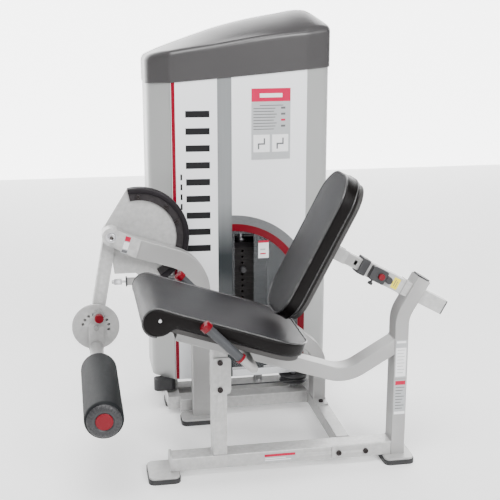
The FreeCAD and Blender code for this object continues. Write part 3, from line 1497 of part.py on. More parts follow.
def stack_nodes():
    """The tower's frame, weight stack, pulleys and cable."""
    return {
        "tower_frame": group(tower_posts() + [top_beam()]),
        "guide_rods": group([guide_rods(), rod_collars(), stack_risers()]),
        "stack_cushions": stack_cushions(),
        "stack_plates": stack_plates(),
        "lifted_plates": group([lifted_plates(), head_plate()]),
        "selector_stem": selector_stem(),
        "selector_pin": selector_pin(),
        "arm_pulley": wheel_y(PULLEY_A, CABLE_Y),
        "floor_pulley": wheel_y(PULLEY_B, CABLE_Y),
        "return_pulley": return_wheel(),
        "riser_pulley": wheel_y(PULLEY_D, RETURN_Y),
        "top_pulley_left": wheel_y(PULLEY_E, STACK_Y),
        "top_pulley_right": wheel_y(PULLEY_F, STACK_Y),
        "pulley_mounts": pulley_mounts(),
        "machine_cable": group([cable_lower(), cable_upper()]),
        "cable_span": cable_span(),
        "cable_drop": cable_drop(),
    }


def shroud_nodes():
    return {
        "left_column": left_column(),
        "right_column": right_column(),
        "rear_shroud": rear_shroud(),
        "left_panel": front_panel((LEFT_EDGE[0], PANEL_L_X[1])),
        "centre_band": front_panel(BAND_X),
        "right_panel": right_panel(),
        "stack_window": stack_window(),
        "tower_cap": tower_cap(),
    }


if __name__ == "__main__":
    for nodes in (frame_nodes(), moving_nodes(), stack_nodes(), shroud_nodes()):
        for name, shape in nodes.items():
            shape.exportStep(f"parts/{name}.step")
            print(name, round(shape.Volume / 1000), "cm3", "valid" if shape.isValid() else "NOT VALID")
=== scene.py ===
"""Looks of the leg extension machine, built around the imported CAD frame, in metres.

Every mesh is drawn in the row frame with its object at the origin, so a texture that reads object
coordinates stays on the surface when the part's body moves.
"""
import json
import math

import bmesh
import bpy
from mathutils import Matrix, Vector, noise
from mathutils.kdtree import KDTree


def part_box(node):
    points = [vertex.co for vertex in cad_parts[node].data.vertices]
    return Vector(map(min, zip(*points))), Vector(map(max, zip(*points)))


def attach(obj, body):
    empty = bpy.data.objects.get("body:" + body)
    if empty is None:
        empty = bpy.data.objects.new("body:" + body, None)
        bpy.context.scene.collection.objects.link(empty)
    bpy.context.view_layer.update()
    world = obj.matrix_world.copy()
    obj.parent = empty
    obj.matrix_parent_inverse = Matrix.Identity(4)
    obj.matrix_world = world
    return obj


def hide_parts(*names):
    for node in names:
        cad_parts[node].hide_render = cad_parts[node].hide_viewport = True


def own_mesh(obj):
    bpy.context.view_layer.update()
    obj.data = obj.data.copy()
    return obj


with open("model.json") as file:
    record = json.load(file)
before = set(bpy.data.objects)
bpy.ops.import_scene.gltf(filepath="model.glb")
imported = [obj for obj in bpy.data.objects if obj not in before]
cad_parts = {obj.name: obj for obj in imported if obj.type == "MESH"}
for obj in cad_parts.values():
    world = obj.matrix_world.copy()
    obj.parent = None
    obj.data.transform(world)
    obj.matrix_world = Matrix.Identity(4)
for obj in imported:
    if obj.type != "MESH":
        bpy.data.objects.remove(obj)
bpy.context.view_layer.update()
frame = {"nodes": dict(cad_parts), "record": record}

ROOT = "frame"

# ---------------------------------------------------------------- places that repeat the CAD's
SEAT_TILT = math.radians(18.5)
SEAT_ORIGIN = Vector((-0.360, -0.320, 0.697))
SEAT_HALF = 0.225
SEAT_END = 0.515
SEAT_THICK = 0.054
ROLL_R = 0.052
ROLL_U = -0.028             # the front roll's centre, along the seat and below its top
ROLL_W = -0.050
BACK_TILT = math.radians(27.5)
BACK_ORIGIN = Vector((0.066, -0.320, 0.690))
BACK_HALF = 0.1375
BACK_LOW = -0.088
BACK_HIGH = 0.462
BACK_FRONT = 0.004
BACK_REAR = -0.058
SLEEVE_TILT = math.radians(28.9)
SLEEVE_N = 0.8376
SLEEVE_HALF = 0.0275
SEAT_FRAME_Y = -0.320
BEAM_FRONT_Y = -0.358
BEAM_BACK_Y = -0.282
BASE_Z0 = 0.026
BASE_Z1 = 0.078
UPRIGHT_X = 0.507
POST_X = -0.168
PIVOT = (-0.515, 0.796)
DISC = (-0.587, 0.419)
STOP = (0.230, 0.586)       # the start stop's axis, Y and Z
CAM = (-0.404, 0.774)
CAM_NEAR_Y = 0.191
CAM_SPAN = (-62.6, 101.6)     # degrees round the cam
PANEL_MIDDLE = 0.0125
PANEL_HALF = 0.2745
PANEL_FRONT_Y = 0.246
PANEL_SAG = 0.012
ARCH = (-0.022, 0.492)
ARCH_R = 0.280
SILL_Z = 0.170
PANEL_RIGHT = 0.287
SHROUD_Z0 = 0.140


# ---------------------------------------------------------------- node helpers
def node(tree, kind, **values):
    """Adds a shader node and sets its properties and input values."""
    made = tree.nodes.new(kind)
    for key, value in values.items():
        if hasattr(made, key):
            setattr(made, key, value)
        else:
            made.inputs[key.replace("_", " ")].default_value = value
    return made


def object_coords(tree, stretch=(1, 1, 1)):
    coords = node(tree, "ShaderNodeTexCoord")
    mapping = node(tree, "ShaderNodeMapping", Scale=stretch)
    tree.links.new(coords.outputs["Object"], mapping.inputs["Vector"])
    return mapping.outputs["Vector"]


def noise_value(tree, vector, scale, detail=4.0, rough=0.55):
    made = node(tree, "ShaderNodeTexNoise", Scale=scale, Detail=detail, Roughness=rough)
    tree.links.new(vector, made.inputs["Vector"])
    return made.outputs["Fac"]


def ramp(tree, value, low, high, at=(0.3, 0.7)):
    made = node(tree, "ShaderNodeValToRGB")
    made.color_ramp.elements[0].position = at[0]
    made.color_ramp.elements[1].position = at[1]
    made.color_ramp.elements[0].color = low
    made.color_ramp.elements[1].color = high
    tree.links.new(value, made.inputs["Fac"])
    return made.outputs["Color"]


def blend_color(tree, factor, a, b):
    made = node(tree, "ShaderNodeMix", data_type="RGBA")
    tree.links.new(factor, made.inputs["Factor"])
    for socket, value in ((made.inputs[6], a), (made.inputs[7], b)):
        if isinstance(value, tuple):
            socket.default_value = value
        else:
            tree.links.new(value, socket)
    return made.outputs[2]


def remap(tree, value, low, high):
    made = node(tree, "ShaderNodeMapRange", To_Min=low, To_Max=high)
    tree.links.new(value, made.inputs["Value"])
    return made.outputs["Result"]


def add_bump(tree, height, distance, strength, before=None):
    made = node(tree, "ShaderNodeBump", Strength=strength, Distance=distance)
    tree.links.new(height, made.inputs["Height"])
    if before is not None:
        tree.links.new(before, made.inputs["Normal"])
    return made.outputs["Normal"]


def shade(color, factor):
    return tuple(min(1.0, c * factor) for c in color) + (1.0,)


def start_material(name, **sockets):
    made = bpy.data.materials.new(name)
    made.use_nodes = True
    shader = made.node_tree.nodes["Principled BSDF"]
    for key, value in sockets.items():
        shader.inputs[key.replace("_", " ")].default_value = value
    return made, made.node_tree, shader


def mottled(name, color, rough, mottle=6.0, spread=0.06, grain=900.0, depth=0.05, wear=None,
            rough_spread=0.05, stretch=(1, 1, 1), **sockets):
    """A finish with slow colour change, uneven gloss, fine grain and, where wear is a colour, worn edges."""
    made, tree, shader = start_material(name, **sockets)
    coords = object_coords(tree, stretch)
    slow = noise_value(tree, coords, mottle, 5.0)
    base = ramp(tree, slow, shade(color, 1 - spread), shade(color, 1 + spread))
    if wear is not None:
        geometry = node(tree, "ShaderNodeNewGeometry")
        edge = ramp(tree, geometry.outputs["Pointiness"], (0, 0, 0, 1), (1, 1, 1, 1), (0.56, 0.66))
        patchy = node(tree, "ShaderNodeMath", operation="MULTIPLY")
        tree.links.new(edge, patchy.inputs[0])
        tree.links.new(noise_value(tree, coords, 60.0), patchy.inputs[1])
        base = blend_color(tree, patchy.outputs[0], base, shade(wear, 1.0))
    tree.links.new(base, shader.inputs["Base Color"])
    gloss = noise_value(tree, coords, mottle * 5, 3.0)
    tree.links.new(remap(tree, gloss, rough - rough_spread, rough + rough_spread), shader.inputs["Roughness"])
    fine = noise_value(tree, coords, grain, 2.0)
    tree.links.new(add_bump(tree, fine, 0.0006, depth), shader.inputs["Normal"])
    return made


def leather_grain(name, color, rough, cell=520.0, depth=0.32, **sockets):
    """Upholstery vinyl: pebbled cells, fine creases and a slow change of colour."""
    made, tree, shader = start_material(name, **sockets)
    coords = object_coords(tree)
    slow = noise_value(tree, coords, 7.0, 6.0)
    cells = node(tree, "ShaderNodeTexVoronoi", feature="DISTANCE_TO_EDGE", Scale=cell)
    tree.links.new(coords, cells.inputs["Vector"])
    # The cell borders are painted darker: painted shade in the grooves of the grain.
    groove = ramp(tree, cells.outputs["Distance"], (0, 0, 0, 1), (1, 1, 1, 1), (0.0, 0.22))
    base = ramp(tree, slow, shade(color, 0.88), shade(color, 1.14))
    tree.links.new(blend_color(tree, groove, shade(color, 0.62), base), shader.inputs["Base Color"])
    tree.links.new(remap(tree, slow, rough - 0.05, rough + 0.07), shader.inputs["Roughness"])
    pebble = add_bump(tree, groove, 0.0005, depth)
    crease = noise_value(tree, coords, 85.0, 6.0)
    tree.links.new(add_bump(tree, crease, 0.0012, 0.10, pebble), shader.inputs["Normal"])
    return made


def brushed(name, color, rough, stretch, **sockets):
    """Metal with fine drawn lines along one direction."""
    made, tree, shader = start_material(name, Metallic=1.0, **sockets)
    lines = noise_value(tree, object_coords(tree, stretch), 40.0, 6.0, 0.7)
    slow = noise_value(tree, object_coords(tree), 12.0)
    tree.links.new(ramp(tree, slow, shade(color, 0.9), shade(color, 1.06)), shader.inputs["Base Color"])
    tree.links.new(remap(tree, lines, rough - 0.07, rough + 0.09), shader.inputs["Roughness"])
    tree.links.new(add_bump(tree, lines, 0.0003, 0.12), shader.inputs["Normal"])
    return made


def banded_plastic(name, upper, lower, z_change, rough, **sockets):
    """A glossy strip whose tone darkens below z_change."""
    made, tree, shader = start_material(name, **sockets)
    coords = object_coords(tree)
    split = node(tree, "ShaderNodeSeparateXYZ")
    tree.links.new(coords, split.inputs[0])
    height = node(tree, "ShaderNodeMapRange", From_Min=z_change - 0.10, From_Max=z_change + 0.12)
    tree.links.new(split.outputs["Z"], height.inputs["Value"])
    tone = blend_color(tree, height.outputs["Result"], shade(lower, 1), shade(upper, 1))
    slow = noise_value(tree, object_coords(tree, (60, 60, 1.5)), 1.0, 3.0)
    lines = ramp(tree, slow, (0.90, 0.90, 0.90, 1), (1, 1, 1, 1))
    mixed = node(tree, "ShaderNodeMix", data_type="RGBA", blend_type="MULTIPLY")
    mixed.inputs["Factor"].default_value = 1.0
    tree.links.new(tone, mixed.inputs[6])
    tree.links.new(lines, mixed.inputs[7])
    tree.links.new(mixed.outputs[2], shader.inputs["Base Color"])
    tree.links.new(remap(tree, slow, rough - 0.04, rough + 0.05), shader.inputs["Roughness"])
    return made


def twisted_cable(name, color):
    """Coated wire rope: the strands show through the plastic as slanted ridges."""
    made, tree, shader = start_material(name, Roughness=0.38)
    wave = node(tree, "ShaderNodeTexWave", Scale=180.0, Distortion=0.6, bands_direction="DIAGONAL")
    tree.links.new(object_coords(tree), wave.inputs["Vector"])
    tone = ramp(tree, wave.outputs["Fac"], shade(color, 0.7), shade(color, 1.3))
    tree.links.new(tone, shader.inputs["Base Color"])
    tree.links.new(add_bump(tree, wave.outputs["Fac"], 0.0004, 0.35), shader.inputs["Normal"])
    return made


SILVER = (0.31, 0.307, 0.304)
RED = (0.15, 0.0006, 0.007)

MATERIALS = {
    "frame_paint": mottled("silver_powder_coat", SILVER, 0.40, spread=0.035, grain=1500, depth=0.10,
                           wear=(0.72, 0.72, 0.71), Metallic=0.15, Coat_Weight=0.12),
    "foot_rubber": mottled("foot_rubber", (0.018, 0.018, 0.019), 0.62, grain=700, depth=0.22, spread=0.2),
    "bolt_black": mottled("black_oxide", (0.035, 0.030, 0.030), 0.34, grain=1200, Metallic=0.85,
                          wear=(0.22, 0.20, 0.19)),
    "black_plastic": mottled("black_moulded", (0.020, 0.020, 0.022), 0.44, grain=1100, depth=0.14,
                             spread=0.12),
    "vinyl": leather_grain("charcoal_vinyl", (0.013, 0.013, 0.015), 0.42, Specular_IOR_Level=0.25),
    "board": mottled("painted_ply", (0.030, 0.028, 0.027), 0.58, stretch=(1, 6, 6), grain=300, depth=0.25,
                     spread=0.2),
    "grip_rubber": mottled("grip_rubber", (0.034, 0.036, 0.040), 0.55, grain=900, depth=0.30, spread=0.10),
    "red_accent": mottled("crimson_gloss", RED, 0.26, spread=0.08, grain=500, depth=0.03,
                          Specular_IOR_Level=0.25),
    "track_black": mottled("dark_texture_coat", (0.010, 0.008, 0.010), 0.42, grain=1300, depth=0.25,
                           wear=(0.06, 0.055, 0.055), Specular_IOR_Level=0.2),
    "steel_zinc": brushed("zinc_steel", (0.66, 0.66, 0.68), 0.30, (1, 1, 30)),
    "chrome_rod": brushed("guide_rod_chrome", (0.80, 0.80, 0.82), 0.12, (30, 30, 1)),
    "plate_iron": mottled("plate_iron", (0.005, 0.004, 0.005), 0.48, grain=420, depth=0.35, spread=0.25,
                          wear=(0.05, 0.047, 0.045), Specular_IOR_Level=0.1),
    "cable_black": twisted_cable("coated_cable", (0.022, 0.022, 0.024)),
    "foam": mottled("closed_cell_foam", (0.009, 0.010, 0.011), 0.60, mottle=14, spread=0.12, grain=520,
                    depth=0.40, stretch=(1, 0.35, 1), Specular_IOR_Level=0.12),
    "pulley_nylon": mottled("pulley_nylon", (0.030, 0.030, 0.033), 0.40, grain=600, depth=0.08, spread=0.12),
    "shroud_white": mottled("white_panel", (0.80, 0.81, 0.83), 0.34, mottle=2.0, spread=0.012, grain=1600,
                            depth=0.05, Coat_Weight=0.10),
    "shroud_silver": mottled("silver_panel", (0.33, 0.335, 0.33), 0.34, mottle=2.5, spread=0.03, grain=1600,
                             depth=0.07, Metallic=0.25),
    "band_grey": banded_plastic("grey_band", (0.21, 0.22, 0.225), (0.026, 0.031, 0.034), 0.77, 0.20),
    "cap_charcoal": mottled("charcoal_moulding", (0.042, 0.040, 0.041), 0.32, mottle=3.0, spread=0.05,
                            grain=1400, depth=0.12, rough_spread=0.03),
}


def tinted_pane():
    """Grey see-through plastic with faint scuffs."""
    made, tree, shader = start_material("tinted_pane", Alpha=0.45, IOR=1.49, Specular_IOR_Level=0.2)
    slow = noise_value(tree, object_coords(tree), 5.0)
    tone = ramp(tree, slow, (0.085, 0.090, 0.095, 1), (0.110, 0.115, 0.120, 1))
    tree.links.new(tone, shader.inputs["Base Color"])
    scuffs = noise_value(tree, object_coords(tree, (1, 1, 8)), 90.0, 5.0)
    tree.links.new(remap(tree, scuffs, 0.10, 0.24), shader.inputs["Roughness"])
    return made


def card(name, color, rough=0.42):
    """Printed label stock."""
    return mottled(name, color, rough, mottle=25, spread=0.03, grain=1400, depth=0.04,
                   Specular_IOR_Level=0.15)


MATERIALS["window_tint"] = tinted_pane()
WHITE_CARD = card("label_white", (0.78, 0.78, 0.79))
GREY_CARD = card("label_grey", (0.40, 0.41, 0.42))
DARK_CARD = card("label_dark", (0.12, 0.12, 0.125))
RED_CARD = card("label_red", (0.44, 0.010, 0.046), 0.30)
PINK_CARD = card("placard_red", (0.48, 0.008, 0.060), 0.30)
YELLOW_CARD = card("label_yellow", (0.80, 0.66, 0.03), 0.40)
BLACK_CARD = card("print_black", (0.012, 0.012, 0.013), 0.34)
STRIPE_RED = card("stripe_red", (0.20, 0.001, 0.014), 0.28)
ARCH_RED = card("arch_red", (0.13, 0.0004, 0.007), 0.30)
ARCH_GREY = card("arch_grey", (0.13, 0.133, 0.137), 0.28)
# Piping vinyl, lighter than the cushion vinyl: the lighter colour is painted highlight along the seams.
PIPING_HIGHLIGHT_VINYL = leather_grain("piping_vinyl_painted_highlight", (0.036, 0.035, 0.036), 0.26, cell=900, depth=0.12, Coat_Weight=0.25)
# A darker copy of the cushion vinyl: its darkness is painted shade on the pads' sides.
SHADED_SIDE_VINYL = leather_grain("side_vinyl_painted_shade", (0.004, 0.003, 0.003), 0.30, Specular_IOR_Level=0.12)
WELD = mottled("painted_weld", SILVER, 0.36, spread=0.05, grain=260, depth=0.30, Metallic=0.2)


# ---------------------------------------------------------------- mesh helpers
def new_piece(name, vertices, faces, materials, body, smooth=True, face_material=None):
    mesh = bpy.data.meshes.new(name)
    mesh.from_pydata([tuple(v) for v in vertices], [], faces)
    for material in materials:
        mesh.materials.append(material)
    if face_material is not None:
        mesh.polygons.foreach_set("material_index", face_material)
    mesh.polygons.foreach_set("use_smooth", [smooth] * len(mesh.polygons))
    work = bmesh.new()
    work.from_mesh(mesh)
    bmesh.ops.recalc_face_normals(work, faces=work.faces)
    work.to_mesh(mesh)
    work.free()
    piece = bpy.data.objects.new(name, mesh)
    bpy.context.scene.collection.objects.link(piece)
    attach(piece, body)
    return piece


def loft(rings, closed_ends=True):
    """Vertices and faces of a skin over rings that all have the same number of points."""
    vertices = [p for ring in rings for p in ring]
    count = len(rings[0])
    faces = []
    for i in range(len(rings) - 1):
        a = i * count
        b = a + count
        for k in range(count):
            n = (k + 1) % count
            faces.append((a + k, a + n, b + n, b + k))
    if closed_ends:
        faces.append(tuple(range(count))[::-1])
        last = (len(rings) - 1) * count
        faces.append(tuple(range(last, last + count)))
    return vertices, faces


def tube_piece(name, path, radius, material, body, sides=10, ripple=0.0, closed=False):
    """A round bead along a path; ripple makes it swell and thin along its run, like a weld."""
    rings = []
    count = len(path)
    up = Vector((0.13, 0.21, 0.97))
    for i, point in enumerate(path):
        before = path[i - 1] if (i or closed) else path[0]
        after = path[(i + 1) % count] if (closed or i < count - 1) else path[-1]
        along = (after - before).normalized()
        side = along.cross(up).normalized()
        top = side.cross(along)
        up = top if abs(top.dot(along)) < 0.9 else up
        r = radius * (1 + ripple * math.sin(i * 2.1))
        rings.append([point + (side * math.cos(a) + top * math.sin(a)) * r
                      for a in (2 * math.pi * k / sides for k in range(sides))])
    if closed:
        rings.append(rings[0])
    vertices, faces = loft(rings, not closed)
    piece = new_piece(name, vertices, faces, [material], body)
    if closed:
        weld_seam(piece)
    return piece


def weld_seam(piece, distance=1e-5):
    work = bmesh.new()
    work.from_mesh(piece.data)
    bmesh.ops.remove_doubles(work, verts=work.verts, dist=distance)
    bmesh.ops.recalc_face_normals(work, faces=work.faces)
    work.to_mesh(piece.data)
    work.free()


def revolve(name, profile, centre, axis, slot, body, segments=96, wobble=None):
    """A closed turned form. profile is (distance along axis, radius) from one end to the other."""
    d = Vector(axis).normalized()
    side = d.orthogonal().normalized()
    other = d.cross(side)
    rings = []
    for along, radius in profile:
        ring = []
        for k in range(segments):
            a = 2 * math.pi * k / segments
            r = radius * (1 + (wobble(a, along) if wobble else 0.0))
            ring.append(Vector(centre) + d * along + (side * math.cos(a) + other * math.sin(a)) * r)
        rings.append(ring)
    vertices, faces = loft(rings)
    return new_piece(name, vertices, faces, [MATERIALS[slot]], body)


def bake_modifiers(piece):
    """Turns the modified mesh into the piece's own mesh."""
    graph = bpy.context.evaluated_depsgraph_get()
    mesh = bpy.data.meshes.new_from_object(piece.evaluated_get(graph))
    piece.modifiers.clear()
    piece.data = mesh
    return piece


# ---------------------------------------------------------------- local frames
def on_seat(u, v, w):
    """u down the seat's slope, v to the side, w out of its top."""
    c, s = math.cos(SEAT_TILT), math.sin(SEAT_TILT)
    return SEAT_ORIGIN + Vector((u * c + w * s, v, -u * s + w * c))


def on_back(u, v, w):
    """u up the back rest, v to the side, w out of its front."""
    c, s = math.cos(BACK_TILT), math.sin(BACK_TILT)
    return BACK_ORIGIN + Vector((-w * c + u * s, v, w * s + u * c))


def on_sleeve(s, y, n):
    c, k = math.cos(SLEEVE_TILT), math.sin(SLEEVE_TILT)
    return Vector((s * c + n * k, y, -s * k + n * c))


def panel_y(x):
    """The gently curved front of the shroud."""
    return PANEL_FRONT_Y + PANEL_SAG * ((x - PANEL_MIDDLE) / PANEL_HALF) ** 2


def on_panel(x, z, lift):
    return Vector((x, panel_y(x) - lift, z))


def cap_base_z(x):
    return 1.374 + 0.0811 * (x + 0.350)


# ---------------------------------------------------------------- pads
def arc_half(s, low, high, half, radius):
    """Half width at s of an outline with round corners at both ends."""
    reach = min(s - low, high - s)
    if reach >= radius:
        return half
    return half - radius + math.sqrt(max(0.0, radius ** 2 - (radius - reach) ** 2))


def pad_ring(s, half, top, bottom, edge, place):
    """A rounded rectangle across the pad."""
    edge = min(edge, (top - bottom) * 0.49, half * 0.49)
    points = []
    for cv, cw, start in ((half - edge, top - edge, 0), (-half + edge, top - edge, 90),
                          (-half + edge, bottom + edge, 180), (half - edge, bottom + edge, 270)):
        for k in range(5):
            a = math.radians(start + 22.5 * k)
            points.append((cv + edge * math.cos(a), cw + edge * math.sin(a)))
    return [place(s, v, w) for v, w in points]


def seat_top(u):
    if u < ROLL_U:
        return ROLL_W + math.sqrt(max(0.0, ROLL_R ** 2 - (u - ROLL_U) ** 2))
    drop = max(0.0, u - (SEAT_END - 0.012))
    return 0.002 * max(0.0, 1 - (u - ROLL_U) / 0.06) - (0.012 - math.sqrt(max(0.0, 0.012 ** 2 - drop ** 2)))


def seat_bottom(u):
    """The roll's underside, which rises in a hollow curve to the flat of the cushion."""
    if u < 0.004:
        return ROLL_W - math.sqrt(max(0.0, ROLL_R ** 2 - (u - ROLL_U) ** 2))
    start = ROLL_W - math.sqrt(ROLL_R ** 2 - (0.004 - ROLL_U) ** 2)
    t = min(1.0, (u - 0.004) / 0.040)
    return start + (-SEAT_THICK - start) * (t * t * (3 - 2 * t))


def stations(low, high, count, ease=0.0025):
    """Places from low to high, closer together near both ends."""
    return [low + ease * 0.1 + (high - low - ease * 0.2) * (0.5 - 0.5 * math.cos(math.pi * i / count))
            for i in range(count + 1)]


def seat_half(u):
    return arc_half(u, -10.0, SEAT_END, SEAT_HALF, 0.120)


def seat_shell():
    rings = [pad_ring(u, seat_half(u), seat_top(u), seat_bottom(u), 0.010, on_seat)
             for u in stations(ROLL_U - ROLL_R, SEAT_END, 60)]
    return loft(rings)


def back_half(u):
    return arc_half(u, BACK_LOW, BACK_HIGH, BACK_HALF, 0.104)


def back_edge_drop(u, radius=0.014):
    reach = min(u - BACK_LOW, BACK_HIGH - u)
    if reach >= radius:
        return 0.0
    return radius - math.sqrt(max(0.0, radius ** 2 - (radius - reach) ** 2))


def back_shell():
    rings = [pad_ring(u, back_half(u), BACK_FRONT - back_edge_drop(u), BACK_REAR + back_edge_drop(u) * 0.5,
                      0.013, on_back)
             for u in stations(BACK_LOW, BACK_HIGH, 60)]
    return loft(rings)


def seat_seam(inset):
    """The seam that runs round the roll's end, along the top edge and round the rear."""
    near = []
    r = ROLL_R - inset
    for k in range(25):
        a = math.radians(285 - 195 * k / 24)
        near.append((ROLL_U + r * math.cos(a), ROLL_W + r * math.sin(a)))
    first = ROLL_U + 0.012
    reach = SEAT_END - inset - first
    run = []
    for k in range(49):
        u = first + reach * math.sin(math.pi / 2 * k / 48)
        run.append((u, seat_top(min(u, SEAT_END - 0.013)) - inset))
    outline = near + run
    side = [on_seat(u, -(seat_half(u) - inset), w) for u, w in outline]
    other = [on_seat(u, seat_half(u) - inset, w) for u, w in outline[::-1]]
    end_u, end_w = outline[-1]
    end_half = seat_half(end_u) - inset
    across = [on_seat(end_u, -end_half + 2 * end_half * k / 20, end_w) for k in range(1, 20)]
    return side + across + other


def back_seam(w, inset):
    """A closed seam round the back pad at depth w."""
    points = []
    half = BACK_HALF - inset
    r = 0.104 - inset
    corners = ((half - r, BACK_HIGH - inset - r, 0), (-half + r, BACK_HIGH - inset - r, 90),
               (-half + r, BACK_LOW + inset + r, 180), (half - r, BACK_LOW + inset + r, 270))
    for cv, cu, start in corners:
        for k in range(13):
            a = math.radians(start + 7.5 * k)
            points.append(on_back(cu + r * math.sin(a), cv + r * math.cos(a), w))
    return dense(points, 0.008)


def dense(points, step, closed=True):
    """Adds points so that no gap along the path is longer than step."""
    out = []
    ends = points[1:] + (points[:1] if closed else [])
    for a, b in zip(points, ends):
        count = max(1, math.ceil((b - a).length / step))
        out += [a.lerp(b, k / count) for k in range(count)]
    return out if closed else out + [points[-1]]


def remeshed(piece, voxel):
    modifier = piece.modifiers.new("remesh", "REMESH")
    modifier.mode = "VOXEL"
    modifier.voxel_size = voxel
    modifier.use_smooth_shade = True
    smooth = piece.modifiers.new("smooth", "SMOOTH")
    smooth.factor = 0.5
    smooth.iterations = 4
    return bake_modifiers(piece)


def inflate(piece, held_points, held_test, cap):
    """Cloth under pressure between the held seams; no point moves further than cap."""
    tree = KDTree(len(held_points))
    for i, p in enumerate(held_points):
        tree.insert(p, i)
    tree.balance()
    rest = [v.co.copy() for v in piece.data.vertices]
    pins = piece.vertex_groups.new(name="held")
    for i, co in enumerate(rest):
        if held_test(co) or tree.find(co)[2] < 0.0075:
            pins.add([i], 1.0, "REPLACE")
    cloth = piece.modifiers.new("cloth", "CLOTH")
    settings = cloth.settings
    settings.vertex_group_mass = "held"
    settings.use_pressure = True
    settings.uniform_pressure_force = 4.0
    settings.effector_weights.gravity = 0.0
    settings.tension_stiffness = 25
    settings.compression_stiffness = 25
    settings.bending_stiffness = 2.0
    cloth.point_cache.frame_start = 1
    cloth.point_cache.frame_end = 20
    scene = bpy.context.scene
    for number in range(1, 21):
        scene.frame_set(number)
    bake_modifiers(piece)
    for vertex, co in zip(piece.data.vertices, rest):
        move = vertex.co - co
        if move.length > cap:
            vertex.co = co + move.normalized() * cap
    scene.frame_set(1)
    relax = piece.modifiers.new("relax", "SMOOTH")
    relax.factor = 0.5
    relax.iterations = 6
    subdivide = piece.modifiers.new("subdivide", "SUBSURF")
    subdivide.levels = 1
    subdivide.render_levels = 1
    return bake_modifiers(piece)


def paint_shaded_sides(piece, is_shaded_side):
    """Gives the boxing panels of a pad a glossier copy of the vinyl, painted darker as painted shade on the
    sides.
    """
    piece.data.materials.append(SHADED_SIDE_VINYL)
    for polygon in piece.data.polygons:
        polygon.material_index = 1 if is_shaded_side(polygon.center, polygon.normal) else 0
    piece.data.polygons.foreach_set("use_smooth", [True] * len(piece.data.polygons))


def seat_cushion():
    vertices, faces = seat_shell()
    piece = new_piece("seat_cushion", vertices, faces, [MATERIALS["vinyl"]], ROOT)
    up = on_seat(0, 0, 1) - on_seat(0, 0, 0)
    remeshed(piece, 0.005)
    underside = SEAT_ORIGIN.dot(up) - SEAT_THICK + 0.004
    inflate(piece, seat_seam(0.003), lambda co: co.dot(up) < underside and co.x > -0.33, 0.007)
    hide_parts("seat_pad")
    along = (on_seat(1, 0, 0) - on_seat(0, 0, 0)).normalized()

    # Faces that take the painted shade: the flat sides and the rear.
    def is_shaded_side(centre, normal):
        s = (centre - SEAT_ORIGIN).dot(along)
        flat_side = abs(normal.y) > 0.62
        rear = s > SEAT_END - 0.13 and abs(normal.dot(up)) < 0.72
        return flat_side or rear

    paint_shaded_sides(piece, is_shaded_side)
    tube_piece("seat_piping", seat_seam(0.0028), 0.0034, PIPING_HIGHLIGHT_VINYL, ROOT)
    return piece


def back_cushion():
    vertices, faces = back_shell()
    piece = new_piece("back_cushion", vertices, faces, [MATERIALS["vinyl"]], "back_rest")
    front = on_back(0, 0, 1) - on_back(0, 0, 0)
    seams = back_seam(BACK_FRONT - 0.0035, 0.0035)
    low_seams = back_seam(BACK_REAR + 0.016, 0.0)
    remeshed(piece, 0.005)
    rear = BACK_ORIGIN.dot(front) + BACK_REAR + 0.003
    inflate(piece, seams + low_seams, lambda co: co.dot(front) < rear, 0.007)
    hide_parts("back_pad")
    paint_shaded_sides(piece, lambda centre, normal: normal.dot(front) < 0.72)
    tube_piece("back_piping", seams, 0.0034, PIPING_HIGHLIGHT_VINYL, "back_rest", closed=True)
    tube_piece("back_piping_rear", low_seams, 0.0026, PIPING_HIGHLIGHT_VINYL, "back_rest", closed=True)
    return piece


# ---------------------------------------------------------------- roller
ROLLER = Vector((-0.588, 0.0, 0.338))
FOAM_NEAR = -0.573
FOAM_FAR = -0.080
FOAM_R = 0.067


def end_round(y_end, inward, radius, edge, steps=8):
    """Profile points of a rounded end, from the flat face out to the full radius."""
    return [(y_end + inward * edge * (1 - math.cos(a)), radius - edge + edge * math.sin(a))
            for a in (math.pi / 2 * k / steps for k in range(steps + 1))]


def foam_sleeve():
    near = [(FOAM_NEAR + 0.010, 0.030), (FOAM_NEAR + 0.010, 0.048), (FOAM_NEAR, 0.049)]
    near += end_round(FOAM_NEAR, 1, FOAM_R, 0.017)
    middle = [(FOAM_NEAR + 0.03 + (FOAM_FAR - FOAM_NEAR - 0.06) * k / 40, FOAM_R) for k in range(41)]
    far = end_round(FOAM_FAR, -1, FOAM_R, 0.015)[::-1] + [(FOAM_FAR, 0.0255), (FOAM_FAR - 0.006, 0.0245)]

    def uneven(angle, along):
        return 0.006 * noise.noise(Vector((math.cos(angle) * 1.3, math.sin(angle) * 1.3, along * 9)))

    piece = revolve("foam_sleeve", near + middle + far, ROLLER, (0, 1, 0), "foam", "roller", wobble=uneven)
    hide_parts("foam_roller")


